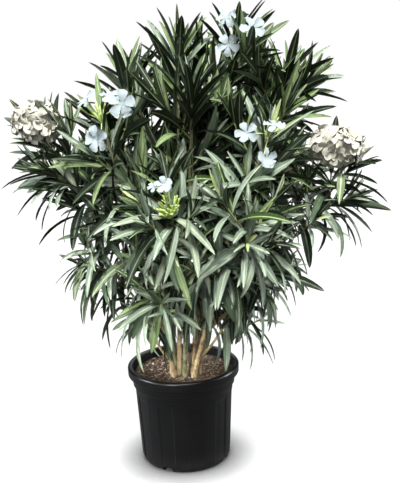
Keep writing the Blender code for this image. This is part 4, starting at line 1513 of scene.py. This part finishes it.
def chipPoints(rng, centre, size):
    # an irregular splinter, flat-lying more or less
    along = Vector((rng.uniform(-1, 1), rng.uniform(-1, 1), rng.uniform(-0.45, 0.45))).normalized()
    across = along.cross(up).normalized()
    above = across.cross(along)
    width, thick = size * rng.uniform(0.35, 0.7), size * rng.uniform(0.16, 0.34)
    points = []
    for lift in (-1, 1):
        for x, y in ((-1, -1), (1, -1), (1, 1), (-1, 1)):
            long, wide, high = (rng.uniform(0.62, 1.1) for _ in range(3))
            points.append(centre + along * x * size / 2 * long + across * y * width / 2 * wide
                          + above * lift * thick / 2 * high)
    return points


def chipsPiece(finishes):
    rng = random.Random(soil["seed"])
    made = Gathered("bark_chips", finishes)
    edge = pot["innerRadius"] - soil["chipsTo"]
    faces = [(0, 3, 2, 1), (4, 5, 6, 7), (0, 1, 5, 4), (1, 2, 6, 5), (2, 3, 7, 6), (3, 0, 4, 7)]
    maps = [(0, 0), (1, 0), (1, 1), (0, 1)] * len(faces)
    for number in range(soil["chips"] + soil["grit"]):
        turn, radius = rng.uniform(0, tau), edge * math.sqrt(rng.random())
        x, y = radius * math.cos(turn), radius * math.sin(turn)
        gritty = number >= soil["chips"]
        size = rng.uniform(*soil["gritSize" if gritty else "chipSize"])
        size *= 1 if gritty else rng.choice((0.7, 1.0, 1.3))
        centre = Vector((x, y, soilHeight(x, y) + size * 0.10))
        tone = 3 if gritty else rng.choice((0, 0, 1, 1, 2))
        made.add(chipPoints(rng, centre, size), faces, [tone] * len(faces), maps)
    finished(made.piece(20))


def soilMaterial(name, colour, dark, roughness):
    look = Look(name, Roughness=roughness, Specular_IOR_Level=0.25)
    patches, grain = look.mottled(110.0, 900.0)
    tone = look.mix(patches, dark, colour)
    look.give("Base Color", look.mix(look.times(grain, 0.4), tone, scaled(dark, 0.5)))
    look.relief(look.maths("ADD", grain, patches), 0.0015, 0.8)
    return look.material


soilPiece(soilMaterial("pottingMix", (0.230, 0.158, 0.110), (0.066, 0.045, 0.034), 0.95))
chipsPiece([
    soilMaterial("redChip", (0.480, 0.320, 0.225), (0.230, 0.145, 0.100), 0.85),
    soilMaterial("brownChip", (0.280, 0.198, 0.142), (0.115, 0.080, 0.058), 0.90),
    soilMaterial("paleChip", (0.700, 0.580, 0.445), (0.440, 0.350, 0.255), 0.85),
    soilMaterial("grit", (0.850, 0.820, 0.760), (0.650, 0.620, 0.570), 0.80),
])


# Studio: a white floor and surround, a large soft light above, and the camera.

studio = {
    "floorRadius": 9.0,
    "floorGlow": 1.0,
    "skyColour": (0.026, 0.028, 0.028),
    "bounce": (0.07, 0.07, 0.07),
    "faint": (0.05, 0.05, 0.05),
    "contactReach": 0.125,
    "contactShade": ((0.45, (0.06, 0.06, 0.06)), (0.72, (0.45, 0.45, 0.45)), (0.91, (1, 1, 1))),
    "sun": {"energy": 9.2, "angle": math.radians(20), "color": (1.0, 1.0, 0.985)},
    "sunTowards": (-0.05, 0.54, -1.0),
    # soft lights: place, target, size, power, colour, spread in degrees
    "lights": {
        "frontSky": ((-0.7, -2.6, 2.4), (0.05, 0, 0.65), 1.8, 22, (0.96, 1.0, 1.0), 180),
        "leftWindow": ((-2.4, -0.6, 0.9), (0, 0, 0.1), 1.0, 8, (0.90, 0.95, 1.0), 40),
        "rightWindow": ((2.4, 0.3, 0.9), (0, 0, 0.1), 1.0, 6, (0.90, 0.95, 1.0), 40),
        "backLight": ((0.0, 1.9, 2.3), (0.05, 0, 0.7), 1.8, 52, (0.95, 1.0, 1.0), 180),
        "frontLight": ((-0.9, -2.0, 0.75), (0.02, 0, 0.20), 0.4, 0.7, (1.0, 0.99, 0.96), 17),
    },
    "cameraPlace": (0.053, -2.10, 1.08),
    "cameraPitch": math.radians(90 - 13.85),
    "cameraRoll": math.radians(-2.0),
    "focalPixels": 886,
    "pixelsHigh": 483,
    "sensor": 36,
}


def floorMaterial():
    # white to the camera, but with less light thrown back up; darker where something stands close
    look = Look("paleFloor", Roughness=0.9, Specular_IOR_Level=0.1)
    seen = look.node("ShaderNodeLightPath", output="Is Camera Ray")
    patches, _ = look.mottled(1.5, 60.0)
    tone = look.mix(patches, (0.97, 0.97, 0.97), (1, 1, 1))
    openness = look.node("ShaderNodeAmbientOcclusion", {"Distance": studio["contactReach"]}, "AO", samples=8)
    contact = look.ramp(openness, studio["contactShade"])
    look.give("Base Color", look.mix(seen, studio["bounce"], studio["faint"]))
    look.give("Emission Color", look.mix(1.0, tone, contact, "MULTIPLY"))
    look.give("Emission Strength", look.times(seen, studio["floorGlow"]))
    return look.material


def floorPiece():
    bm = bmesh.new()
    bmesh.ops.create_circle(bm, cap_ends=True, cap_tris=False, segments=96, radius=studio["floorRadius"])
    mesh = meshOf(bm, "studio_floor")
    mesh.materials.append(floorMaterial())
    placed("studio_floor", mesh)


def surround():
    # white behind everything, and a faint sky for the light
    world = bpy.data.worlds.new("studioWorld")
    world.use_nodes = True
    sky = Nodes(world.node_tree)
    seen = sky.node("ShaderNodeLightPath", output="Is Camera Ray")
    sky.feed(sky.tree.nodes["Background"].inputs["Color"], sky.mix(seen, studio["skyColour"], (1, 1, 1)))
    bpy.context.scene.world = world


def addLight(name, kind, towards, settings):
    light = bpy.data.lights.new(name, kind)
    for key, value in settings.items():
        setattr(light, key, value)
    made = placed(name, light)
    made.rotation_euler = towards.to_track_quat("-Z", "Y").to_euler()
    return made


def setLights():
    addLight("overhead", "SUN", Vector(studio["sunTowards"]), studio["sun"])
    for name, (place, target, size, power, colour, spread) in studio["lights"].items():
        spread = math.radians(spread)
        settings = {"shape": "DISK", "size": size, "energy": power, "color": colour, "spread": spread}
        addLight(name, "AREA", Vector(target) - Vector(place), settings).location = place


def setCamera():
    camera = bpy.data.cameras.new("camera")
    camera.sensor_width = studio["sensor"]
    camera.lens = studio["focalPixels"] / studio["pixelsHigh"] * studio["sensor"]
    made = placed("camera", camera)
    turn = Matrix.Rotation(studio["cameraPitch"], 4, "X") @ Matrix.Rotation(studio["cameraRoll"], 4, "Z")
    made.matrix_world = Matrix.Translation(studio["cameraPlace"]) @ turn
    bpy.context.scene.camera = made
    bpy.context.scene.view_settings.view_transform = "Standard"


floorPiece()
surround()
setLights()
setCamera()
print("studio set")
